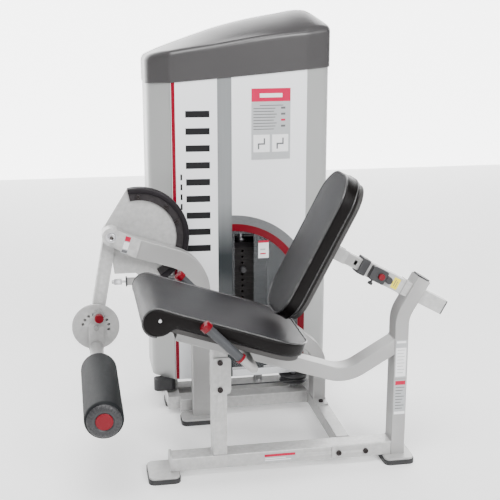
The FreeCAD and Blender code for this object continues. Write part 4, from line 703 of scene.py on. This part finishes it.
def roller_end():
    """The ribbed black ring and the red centre disc on the roller's near end."""
    outer = 0.0600
    profile = [(-0.562, 0.030), (-0.562, 0.0595), (-0.566, outer), (-0.5705, 0.0590), (-0.5745, 0.0545),
               (-0.5775, 0.0460), (-0.5790, 0.0370), (-0.5790, 0.0325), (-0.5765, 0.0318), (-0.5765, 0.0290)]
    ring = revolve("roller_end_ring", profile, ROLLER, (0, 1, 0), "black_plastic", "roller")
    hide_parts("roller_cap")
    ribs = 26
    rings = []
    faces = []
    for k in range(ribs):
        a = 2 * math.pi * k / ribs
        out = Vector((math.cos(a), 0, math.sin(a)))
        side = Vector((-math.sin(a), 0, math.cos(a)))
        start = len(rings)
        for along, r in ((-0.5775, 0.0425), (-0.5755, 0.0520), (-0.5705, 0.0592)):
            for lateral, lift in ((-0.0024, 0.001), (-0.0012, -0.0016), (0.0012, -0.0016), (0.0024, 0.001)):
                rings.append(ROLLER + out * r + side * lateral + Vector((0, along + lift, 0)))
        for row in (0, 4):
            for col in range(3):
                corner = start + row + col
                faces.append((corner, corner + 1, corner + 5, corner + 4))
            faces.append((start + row + 3, start + row, start + row + 4, start + row + 7))
        faces.append((start, start + 1, start + 2, start + 3))
        faces.append((start + 8, start + 9, start + 10, start + 11))
    new_piece("roller_end_ribs", rings, faces, [MATERIALS["black_plastic"]], "roller")
    disc = [(-0.5730, 0.0300)] + [(-0.5790 + 0.003 * (1 - math.cos(a)), 0.0270 + 0.003 * math.sin(a))
                                  for a in (math.pi / 2 * (4 - k) / 4 for k in range(5))]
    disc += [(-0.5796, 0.0200), (-0.5799, 0.0080)]
    revolve("roller_end_disc", disc, ROLLER, (0, 1, 0), "red_accent", "roller")


# ---------------------------------------------------------------- tower cap
CAP_ROUND = 0.022
SPINE_Y = 0.430
SPINE_X = (-0.270, 0.290)
SHOULDER = ((-0.350, 1.479), (-0.218, 1.502), (-0.096, 1.521), (0.084, 1.551), (0.218, 1.568), (0.385, 1.580))
RIDGE = ((-0.350, 1.470), (-0.286, 1.498), (-0.165, 1.541), (-0.045, 1.580), (0.074, 1.609), (0.197, 1.631),
         (0.307, 1.644), (0.385, 1.600))


def along_table(table, x):
    """Smooth height through a short list of (x, z)."""
    x = max(table[0][0], min(table[-1][0], x))
    for i in range(len(table) - 1):
        (x0, z0), (x1, z1) = table[i], table[i + 1]
        if x <= x1:
            before = table[max(i - 1, 0)]
            after = table[min(i + 2, len(table) - 1)]
            m0 = (z1 - before[1]) / (x1 - before[0]) * (x1 - x0)
            m1 = (after[1] - z0) / (after[0] - x0) * (x1 - x0)
            t = (x - x0) / (x1 - x0)
            return ((2 * t ** 3 - 3 * t ** 2 + 1) * z0 + (t ** 3 - 2 * t ** 2 + t) * m0
                    + (-2 * t ** 3 + 3 * t ** 2) * z1 + (t ** 3 - t ** 2) * m1)
    return table[-1][1]


def cap_height(x, y):
    front = along_table(SHOULDER, x)
    ridge = along_table(RIDGE, x)
    t = max(0.0, min(1.0, (y - 0.262) / (SPINE_Y - 0.262)))
    rise = 1 - (1 - t) ** 1.6
    fall = max(0.0, (y - 0.47) / 0.13)
    return front + (ridge - front) * rise - 0.012 * fall ** 2


def corner_arc(a, corner, b, radius, steps=8):
    """Plan points of a rounded corner between two straight runs."""
    a, corner, b = Vector(a), Vector(corner), Vector(b)
    d_in = (a - corner).normalized()
    d_out = (b - corner).normalized()
    half = d_in.angle(d_out) / 2
    reach = radius / math.tan(half)
    centre = corner + (d_in + d_out).normalized() * (radius / math.sin(half))
    start = corner + d_in * reach - centre
    turn = d_in.angle(d_out)
    sweep = math.pi - turn
    sign = 1 if start.x * d_in.y - start.y * d_in.x < 0 else -1
    out = []
    for k in range(steps + 1):
        angle = sign * sweep * k / steps
        c, s = math.cos(angle), math.sin(angle)
        out.append(centre + Vector((start.x * c - start.y * s, start.x * s + start.y * c)))
    return out


def cap_outline():
    over = 0.004
    x0, x1, y1 = -0.350 - over, 0.383 + over, 0.596 + over
    left_front, right_front = (x0, 0.334), (x1, 0.275)
    edge_l, edge_r = (-0.262, panel_y(-0.262) - over), (0.287, panel_y(0.287) - over)
    points = [Vector((edge_l[0] + (edge_r[0] - edge_l[0]) * k / 24, 0)) for k in range(25)]
    points = [Vector((p.x, panel_y(p.x) - over)) for p in points]
    points += corner_arc(edge_r, right_front, (x1, y1), 0.026)
    points += corner_arc(right_front, (x1, y1), (x0, y1), 0.064)
    points += corner_arc((x1, y1), (x0, y1), left_front, 0.064)
    points += corner_arc((x0, y1), left_front, edge_l, 0.064)
    spaced = dense([Vector((p.x, p.y, 0)) for p in points], 0.022)
    return [Vector((p.x, p.y)) for p in spaced]


def cap_ring_top(outline, inward):
    ring = []
    for p in outline:
        spine = Vector((max(SPINE_X[0], min(SPINE_X[1], p.x)), SPINE_Y))
        toward = spine - p
        q = p + toward.normalized() * min(inward, toward.length * 0.995)
        drop = 0.0
        if inward < CAP_ROUND:
            drop = CAP_ROUND - math.sqrt(CAP_ROUND ** 2 - (CAP_ROUND - inward) ** 2)
        ring.append(Vector((q.x, q.y, cap_height(q.x, q.y) - drop)))
    return ring


def cap_cover():
    outline = cap_outline()
    rings = []
    for inset, lift in ((0.005, 0.014), (0.005, 0.0), (0.001, -0.001), (0.0, 0.001)):
        ring = []
        for p in outline:
            toward = (Vector((max(SPINE_X[0], min(SPINE_X[1], p.x)), SPINE_Y)) - p).normalized()
            q = p + toward * inset
            ring.append(Vector((q.x, q.y, cap_base_z(p.x) - 0.008 + lift)))
        rings.append(ring)
    first_top = cap_ring_top(outline, 0.0)
    for share in (0.03, 0.15, 0.4, 0.7, 0.93):
        rings.append([low.lerp(high, share) for low, high in zip(rings[3], first_top)])
    rings.append(first_top)
    for k in range(1, 7):
        rings.append(cap_ring_top(outline, CAP_ROUND * (1 - math.cos(math.pi / 2 * k / 6))))
    for inward in (0.042, 0.058, 0.078, 0.100, 0.125, 0.150, 0.175, 0.20):
        rings.append(cap_ring_top(outline, inward))
    vertices, faces = loft(rings, False)
    inner = len(rings) - 1
    count = len(outline)
    faces.append(tuple(range(inner * count, inner * count + count)))
    piece = new_piece("tower_cover", vertices, faces, [MATERIALS["cap_charcoal"]], ROOT)
    weld_seam(piece, 0.0008)
    thick = piece.modifiers.new("thickness", "SOLIDIFY")
    thick.thickness = 0.003
    thick.offset = -1
    bake_modifiers(piece)
    piece.data.polygons.foreach_set("use_smooth", [True] * len(piece.data.polygons))
    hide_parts("tower_cap")


# ---------------------------------------------------------------- printed trims
MOTIF_TOP = 1.262
MOTIF_BARS = 9
MOTIF_BAR = 0.026
MOTIF_PITCH = 0.068


def decal(name, place, patches, body):
    """Thin printed cards. A patch is (u0, u1, v0, v1, material, lift, steps along u)."""
    vertices, faces, indices, materials = [], [], [], []
    for u0, u1, v0, v1, material, lift, steps in patches:
        if material not in materials:
            materials.append(material)
        rings = []
        for i in range(steps + 1):
            u = u0 + (u1 - u0) * i / steps
            rings.append([place(u, v0, lift), place(u, v1, lift), place(u, v1, 0.0), place(u, v0, 0.0)])
        points, skin = loft(rings)
        faces += [tuple(len(vertices) + k for k in face) for face in skin]
        vertices += points
        indices += [materials.index(material)] * len(skin)
    return new_piece(name, vertices, faces, materials, body, smooth=False, face_material=indices)


def red_stripe():
    low, high = SHROUD_Z0 + 0.001, cap_base_z(-0.253) - 0.008
    decal("stripe", on_panel, [(-0.2600, -0.2460, low, high, STRIPE_RED, 0.0005, 3)], ROOT)


def panel_bars():
    """Plain bars of one width down the white panel."""
    bars = []
    for k in range(MOTIF_BARS):
        z = MOTIF_TOP - k * MOTIF_PITCH
        bars.append((-0.206, -0.110, z - MOTIF_BAR, z, BLACK_CARD, 0.0005, 4))
    decal("motif_bars", on_panel, bars, ROOT)


def motif_line():
    """The thin broken line beside the bars."""
    bars = []
    for k in range(9):
        z = 1.010 - k * 0.040
        bars.append((-0.2290, -0.2215, z - 0.024, z, BLACK_CARD, 0.0005, 1))
    decal("motif_line", on_panel, bars, ROOT)


def arch_band(name, r_in, r_out, material, lift):
    """A printed band over the window: a quarter round, then straight down to the sill."""
    sections = []
    for k in range(49):
        a = math.radians(90 - 90 * k / 48)
        sections.append([(ARCH[0] + r * math.cos(a), ARCH[1] + r * math.sin(a)) for r in (r_in, r_out)])
    for k in range(1, 7):
        z = ARCH[1] + (SILL_Z - ARCH[1]) * k / 6
        sections.append([(ARCH[0] + r_in, z), (ARCH[0] + r_out, z)])
    rings = []
    edge = PANEL_RIGHT - 0.0004
    sections = [s for s in sections if s[0][0] < edge - 0.001]
    for inner, outer in sections:
        (xi, zi), (xo, zo) = inner, outer
        if xo > edge:
            share = (edge - xi) / (xo - xi)
            xo, zo = edge, zi + (zo - zi) * share
        middle = ((xi + xo) / 2, (zi + zo) / 2)
        across = [(xi, zi), middle, (xo, zo)]
        rings.append([on_panel(x, z, lift) for x, z in across] + [on_panel(x, z, 0.0) for x, z in across[::-1]])
    vertices, faces = loft(rings)
    new_piece(name, vertices, faces, [material], ROOT, smooth=False)


def placard():
    """The instruction board, with plain bars where its text would be."""
    x0, x1, z0, z1 = 0.058, 0.218, 1.062, 1.346
    body_lift, print_lift = 0.0008, 0.0011
    patches = [(x0, x1, z0, z1 - 0.052, GREY_CARD, body_lift, 6),
               (x0, x1, z1 - 0.052, z1, PINK_CARD, body_lift, 6),
               (x0 + 0.034, x1 - 0.034, z1 - 0.036, z1 - 0.020, WHITE_CARD, print_lift, 4)]
    for k in range(9):
        z = z1 - 0.066 - k * 0.0118
        right = x0 + 0.104 if k else x1 - 0.030
        left = x0 + 0.008 if k else x0 + 0.034
        patches.append((left, right - 0.006 * (k % 3), z - 0.0030, z, DARK_CARD, print_lift, 3))
    for k in range(4):
        patches.append((x0 + 0.121, x0 + 0.139, z1 - 0.082 - k * 0.024, z1 - 0.074 - k * 0.024,
                        PINK_CARD if k == 2 else DARK_CARD, print_lift, 2))
    for x in (x0 + 0.008, x0 + 0.085):
        patches.append((x, x + 0.067, z0 + 0.030, z0 + 0.100, WHITE_CARD, print_lift, 3))
        patches.append((x + 0.018, x + 0.048, z0 + 0.060, z0 + 0.066, DARK_CARD, print_lift + 0.0003, 2))
        patches.append((x + 0.042, x + 0.048, z0 + 0.060, z0 + 0.086, DARK_CARD, print_lift + 0.0003, 1))
        patches.append((x + 0.018, x + 0.024, z0 + 0.042, z0 + 0.066, DARK_CARD, print_lift + 0.0003, 1))
    decal("placard", on_panel, patches, ROOT)


def window_label():
    x0, z0 = 0.087, 0.652
    patches = [(x0, x0 + 0.044, z0, z0 + 0.074, WHITE_CARD, 0.0006, 3),
               (x0, x0 + 0.044, z0 + 0.065, z0 + 0.074, RED_CARD, 0.0009, 3),
               (x0 + 0.008, x0 + 0.030, z0 + 0.034, z0 + 0.040, GREY_CARD, 0.0009, 1),
               (x0 + 0.008, x0 + 0.032, z0 + 0.016, z0 + 0.022, RED_CARD, 0.0009, 1)]
    decal("window_label", on_panel, patches, ROOT)


def on_plane_y(y):
    return lambda x, z, lift: Vector((x, y - lift, z))


def upright_labels():
    """Two tall blank labels on the upright's front face."""
    x0, x1 = UPRIGHT_X - 0.0225, UPRIGHT_X + 0.0225
    bars = [(x0, x1, 0.331, 0.478, GREY_CARD, 0.0004, 1),
            (x0 + 0.002, x1 - 0.004, 0.336, 0.448, WHITE_CARD, 0.0006, 1),
            (x0 + 0.004, x1 - 0.006, 0.466, 0.474, WHITE_CARD, 0.0006, 1)]
    for k in range(8):
        z = 0.440 - k * 0.0125
        bars.append((x0 + 0.007, x1 - 0.010 - 0.004 * (k % 2), z - 0.0022, z, GREY_CARD, 0.0008, 1))
    bars += [(x0, x1, 0.185, 0.322, GREY_CARD, 0.0004, 1),
             (x0 + 0.003, x1 - 0.003, 0.303, 0.319, RED_CARD, 0.0006, 1),
             (x0 + 0.002, x1 - 0.002, 0.187, 0.197, WHITE_CARD, 0.0006, 1)]
    for k in range(8):
        z = 0.294 - k * 0.0118
        bars.append((x0 + 0.005, x1 - 0.006 - 0.006 * (k % 3), z - 0.0028, z, DARK_CARD, 0.0006, 1))
    decal("upright_labels", on_plane_y(BEAM_FRONT_Y), bars, ROOT)


def beam_plate():
    x0, x1 = -0.009, 0.115
    patches = [(x0, x1, 0.036, 0.069, GREY_CARD, 0.0004, 1),
               (x0 + 0.004, x1 - 0.004, 0.056, 0.066, RED_CARD, 0.0006, 1),
               (x0 + 0.006, x1 - 0.040, 0.047, 0.0505, WHITE_CARD, 0.0006, 1),
               (x0 + 0.006, x1 - 0.020, 0.040, 0.0435, WHITE_CARD, 0.0006, 1)]
    decal("beam_plate", on_plane_y(BEAM_FRONT_Y), patches, ROOT)


def sleeve_label():
    def place(s, n, lift):
        return on_sleeve(s, SEAT_FRAME_Y - SLEEVE_HALF - lift, SLEEVE_N + n)

    decal("sleeve_label", place, [(0.071, 0.097, -0.021, 0.020, YELLOW_CARD, 0.0005, 1),
                                  (0.079, 0.082, -0.012, 0.012, DARK_CARD, 0.0007, 1),
                                  (0.087, 0.0895, -0.014, 0.010, DARK_CARD, 0.0007, 1)], ROOT)


def arm_label():
    """The small label across the pivot arm's end plate."""
    turn = math.atan2(0.757 - 0.664, -0.455 + 0.168)
    d = Vector((math.cos(turn), 0, math.sin(turn)))
    up = Vector((-d.z, 0, d.x)) * -1
    centre = Vector((-0.459, 0.123, 0.764))

    def place(u, v, lift):
        return centre + d * u + up * v + Vector((0, -lift, 0))

    decal("arm_label", place, [(-0.0130, 0.0130, -0.036, 0.036, GREY_CARD, 0.0005, 1),
                               (-0.0105, 0.0105, -0.018, 0.010, WHITE_CARD, 0.0007, 1),
                               (-0.0105, 0.0105, -0.033, -0.022, DARK_CARD, 0.0007, 1),
                               (-0.0105, 0.0105, 0.014, 0.033, RED_CARD, 0.0007, 1)], ROOT)


PLATE_PITCH = 0.025         # from one weight plate to the next
PLATE_MIDDLE = 0.012
MARK_HALF = 0.0042


def plate_marks():
    """A plain white mark beside each plate's pin hole."""
    for node_name, body in (("stack_plates", ROOT), ("lifted_plates", "lifted_stack")):
        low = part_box(node_name)[0]
        marks = []
        for k in range(17 if body == ROOT else 4):
            z = low.z + PLATE_MIDDLE + PLATE_PITCH * k
            marks.append((-0.028, -0.018, z - MARK_HALF, z + MARK_HALF, WHITE_CARD, 0.0006, 1))
        decal(f"{node_name}_marks", on_plane_y(low.y), marks, body)


# ---------------------------------------------------------------- small hardware
def screw_head(name, centre, axis, radius, material, body):
    """A domed head with a recess."""
    dome = [(radius * rise, radius * out) for rise, out in
            ((0.0, 1.0), (0.25, 0.98), (0.5, 0.80), (0.62, 0.50), (0.62, 0.36), (0.30, 0.33), (0.28, 0.05))]
    revolve(name, dome, centre, axis, material, body, segments=40)


def turned_ring(name, section, centre, axis, material, body, segments=64):
    """A ring with an open bore; section is (distance along axis, radius) round its cut face."""
    d = Vector(axis).normalized()
    side = d.orthogonal().normalized()
    other = d.cross(side)
    rings = []
    for k in range(segments + 1):
        a = 2 * math.pi * (k % segments) / segments
        out = side * math.cos(a) + other * math.sin(a)
        rings.append([Vector(centre) + d * along + out * r for along, r in section])
    vertices, faces = loft(rings, False)
    weld_seam(new_piece(name, vertices, faces, [MATERIALS[material]], body))


def shortening_drop():
    """The cable above the weight stack, a straight tube the height of the CAD drop."""
    low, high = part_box("cable_drop")
    x, y = (low.x + high.x) / 2, (low.y + high.y) / 2
    run = high.z - low.z
    steps = 48
    path = [Vector((x, y, low.z + run * k / steps)) for k in range(steps + 1)]
    drop = tube_piece("cable_drop_visual", path, (high.x - low.x) / 2, MATERIALS["cable_black"], ROOT)
    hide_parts("cable_drop")
    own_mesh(drop)


def stop_flange():
    """The black collar where the start stop's screw enters its bracket."""
    section = [(-0.4595, 0.0064), (-0.4600, 0.0200), (-0.4590, 0.0216), (-0.4558, 0.0216), (-0.4545, 0.0205),
               (-0.4545, 0.0064)]
    turned_ring("stop_flange", section, (0, *STOP), (1, 0, 0), "black_plastic", ROOT)


def pivot_recess():
    """The bright washer and dark socket of the bolt in the lever's pivot."""
    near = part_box("pivot_shaft")[0].y
    centre = (PIVOT[0], 0, PIVOT[1])
    turned_ring("pivot_washer", [(near - 0.0004, 0.0085), (near - 0.0014, 0.0090), (near - 0.0014, 0.0150),
                                 (near - 0.0004, 0.0160)], centre, (0, 1, 0), "steel_zinc", ROOT)
    revolve("pivot_socket", [(near - 0.0012, 0.0082), (near - 0.0008, 0.0078), (near - 0.0004, 0.0040)],
            centre, (0, 1, 0), "bolt_black", ROOT, segments=6)


def disc_backing():
    """The thin plate behind the index disc that closes its holes at the back."""
    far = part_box("index_disc")[1].y
    profile = [(far + 0.0002, 0.088), (far + 0.0014, 0.088)]
    revolve("disc_backing", profile, (DISC[0], 0, DISC[1]), (0, 1, 0), "frame_paint", "lever", segments=72)


def cam_rim():
    """The rounded outer lip of the cam's dark channel."""
    section = [(0.0, 0.176), (0.0022, 0.178), (0.0034, 0.184), (0.0034, 0.194), (0.0020, 0.1985),
               (0.0, 0.1995)]
    rings = []
    for k in range(83):
        a = math.radians(CAM_SPAN[0] + (CAM_SPAN[1] - CAM_SPAN[0]) * k / 82)
        rings.append([Vector((CAM[0] + r * math.cos(a), CAM_NEAR_Y - lift, CAM[1] + r * math.sin(a)))
                      for lift, r in section])
    vertices, faces = loft(rings)
    new_piece("cam_rim", vertices, faces, [MATERIALS["track_black"]], "lever")


def roll_screw():
    screw_head("roll_screw", on_seat(ROLL_U + 0.006, -SEAT_HALF - 0.0015, ROLL_W + 0.010), (0, -1, 0), 0.0062,
               "steel_zinc", ROOT)


def plunger_trims():
    """The light threaded collar behind the red knob."""
    turn = math.radians(14.0)
    knob = Vector((DISC[0] + 0.052 * math.sin(turn), 0, DISC[1] + 0.052 * math.cos(turn)))
    threads = []
    y = 0.1365
    for _ in range(12):
        threads += [(y, 0.0108), (y - 0.0006, 0.0116), (y - 0.0012, 0.0108)]
        y -= 0.0013
    profile = [(0.138, 0.0095)] + threads + [(y, 0.0095)]
    revolve("plunger_collar", profile, knob, (0, 1, 0), "steel_zinc", "crank", segments=40)


def stop_knurl():
    """The knurled sleeve of the start stop."""
    def teeth(angle, along):
        return 0.035 * math.cos(angle * 24)

    profile = [(-0.5065, 0.0108), (-0.5055, 0.0118), (-0.4775, 0.0118), (-0.4765, 0.0108)]
    revolve("stop_knurl", profile, (0, *STOP), (1, 0, 0), "steel_zinc", "start_stop", segments=144, wobble=teeth)


def tube_loop(centre, half_a, half_b, axis_a, axis_b, corner=0.004):
    """A rounded rectangular path round a tube."""
    a, b = Vector(axis_a), Vector(axis_b)
    points = []
    for sa, sb, start in ((1, 1, 0), (-1, 1, 90), (-1, -1, 180), (1, -1, 270)):
        for k in range(4):
            t = math.radians(start + 30 * k)
            points.append(Vector(centre) + a * (sa * (half_a - corner) + corner * math.cos(t))
                          + b * (sb * (half_b - corner) + corner * math.sin(t)))
    return dense(points, 0.0035)


def weld_beads():
    x, y, z = (1, 0, 0), (0, 1, 0), (0, 0, 1)
    thin, wide = 0.026, 0.038
    sleeve_a = on_sleeve(0, 0, 1)
    joints = {
        "post_foot": ((POST_X, SEAT_FRAME_Y, BASE_Z1), thin, wide - 0.002, x, y),
        "beam_end": ((UPRIGHT_X - thin, SEAT_FRAME_Y, (BASE_Z0 + BASE_Z1) / 2), wide, thin, y, z),
        "cross_beam": ((0.314, BEAM_BACK_Y, (BASE_Z0 + BASE_Z1) / 2), thin, thin, x, z),
        "cross_rear": ((0.288, 0.221, (BASE_Z0 + BASE_Z1) / 2), wide, thin, y, z),
        "bridge_foot": ((0.312, 0.113, 0.084), thin, wide, x, y),
        "rail_end": ((UPRIGHT_X - thin, SEAT_FRAME_Y, 0.452), wide, 0.030, y, z),
    }
    for name, (centre, half_a, half_b, axis_a, axis_b) in joints.items():
        tube_piece(f"weld_{name}", tube_loop(centre, half_a, half_b, axis_a, axis_b), 0.0027, WELD, ROOT,
                   sides=7, ripple=0.16, closed=True)
    for s, tag in ((0.118, "front"), (0.174, "rear")):
        centre = on_sleeve(s, SEAT_FRAME_Y, SLEEVE_N)
        loop = tube_loop(centre, SLEEVE_HALF, SLEEVE_HALF, sleeve_a, y)
        tube_piece(f"weld_sleeve_{tag}", loop, 0.0024, WELD, ROOT, sides=7, ripple=0.16,
                   closed=True)


# ---------------------------------------------------------------- stage
def stage_plane(name, corners, material):
    mesh = bpy.data.meshes.new(name)
    mesh.from_pydata(corners, [], [(0, 1, 2, 3)])
    mesh.materials.append(material)
    plane = bpy.data.objects.new(name, mesh)
    bpy.context.scene.collection.objects.link(plane)


def build_stage():
    reach = 14.0
    back = 6.0
    pale = mottled("studio_floor", (0.90, 0.90, 0.90), 0.75, mottle=0.4, spread=0.01, depth=0.02,
                   Emission_Color=(1, 1, 1, 1), Emission_Strength=0.25)
    glow = mottled("studio_wall", (0.90, 0.90, 0.90), 0.90, mottle=0.4, spread=0.01, depth=0.0,
                   Emission_Color=(1, 1, 1, 1), Emission_Strength=4.2)
    stage_plane("floor", [(-reach, -reach, 0), (reach, -reach, 0), (reach, back, 0), (-reach, back, 0)], pale)
    stage_plane("wall", [(-reach, back, 0), (reach, back, 0), (reach, back, 9), (-reach, back, 9)], glow)


def area_light(name, place, target, size, power):
    data = bpy.data.lights.new(name, "AREA")
    data.shape = "RECTANGLE"
    data.size, data.size_y = size
    data.energy = power
    light = bpy.data.objects.new(name, data)
    light.location = place
    light.rotation_euler = (Vector(target) - Vector(place)).to_track_quat("-Z", "Y").to_euler()
    bpy.context.scene.collection.objects.link(light)


def build_lights():
    world = bpy.data.worlds.new("studio")
    bpy.context.scene.world = world
    world.use_nodes = True
    world.node_tree.nodes["Background"].inputs["Color"].default_value = (1.0, 1.0, 1.0, 1.0)
    world.node_tree.nodes["Background"].inputs["Strength"].default_value = 0.26
    area_light("key", (3.2, -8.0, 5.2), (0, 0.2, 1.3), (3.2, 3.2), 820)
    area_light("fill", (-4.2, -6.4, 2.6), (0, 0, 0.7), (2.6, 2.2), 45)
    area_light("top", (-0.7, -2.0, 5.0), (-0.3, 0.1, 0.9), (3.4, 2.8), 330)


CAMERA_PLACE = (-0.670, -3.670, 1.700)
CAMERA_TURN = math.radians(10.45)
CAMERA_DIP = math.radians(14.25)


def build_camera():
    data = bpy.data.cameras.new("camera")
    data.lens = 72.0
    data.sensor_width = 36.0
    camera = bpy.data.objects.new("camera", data)
    camera.location = CAMERA_PLACE
    look = Vector((math.sin(CAMERA_TURN) * math.cos(CAMERA_DIP), math.cos(CAMERA_TURN) * math.cos(CAMERA_DIP),
                   -math.sin(CAMERA_DIP)))
    camera.rotation_euler = look.to_track_quat("-Z", "Y").to_euler()
    bpy.context.scene.collection.objects.link(camera)
    bpy.context.scene.camera = camera


# ---------------------------------------------------------------- assembly
def dress_cad():
    """Gives every CAD node the material of its slot in the record."""
    slot_of = {part["node"]: part["material_slot"] for part in frame["record"]["subparts"]}
    for name, piece in frame["nodes"].items():
        piece.data.materials.clear()
        piece.data.materials.append(MATERIALS[slot_of[name]])


dress_cad()
seat_cushion()
back_cushion()
foam_sleeve()
roller_end()
cap_cover()
red_stripe()
panel_bars()
motif_line()
arch_band("arch_red_band", ARCH_R, 0.309, ARCH_RED, 0.0006)
arch_band("arch_grey_band", 0.309, 0.345, ARCH_GREY, 0.0004)
placard()
window_label()
upright_labels()
beam_plate()
sleeve_label()
arm_label()
plate_marks()
cam_rim()
shortening_drop()
disc_backing()
pivot_recess()
stop_flange()
roll_screw()
plunger_trims()
stop_knurl()
weld_beads()
build_stage()
build_lights()
build_camera()
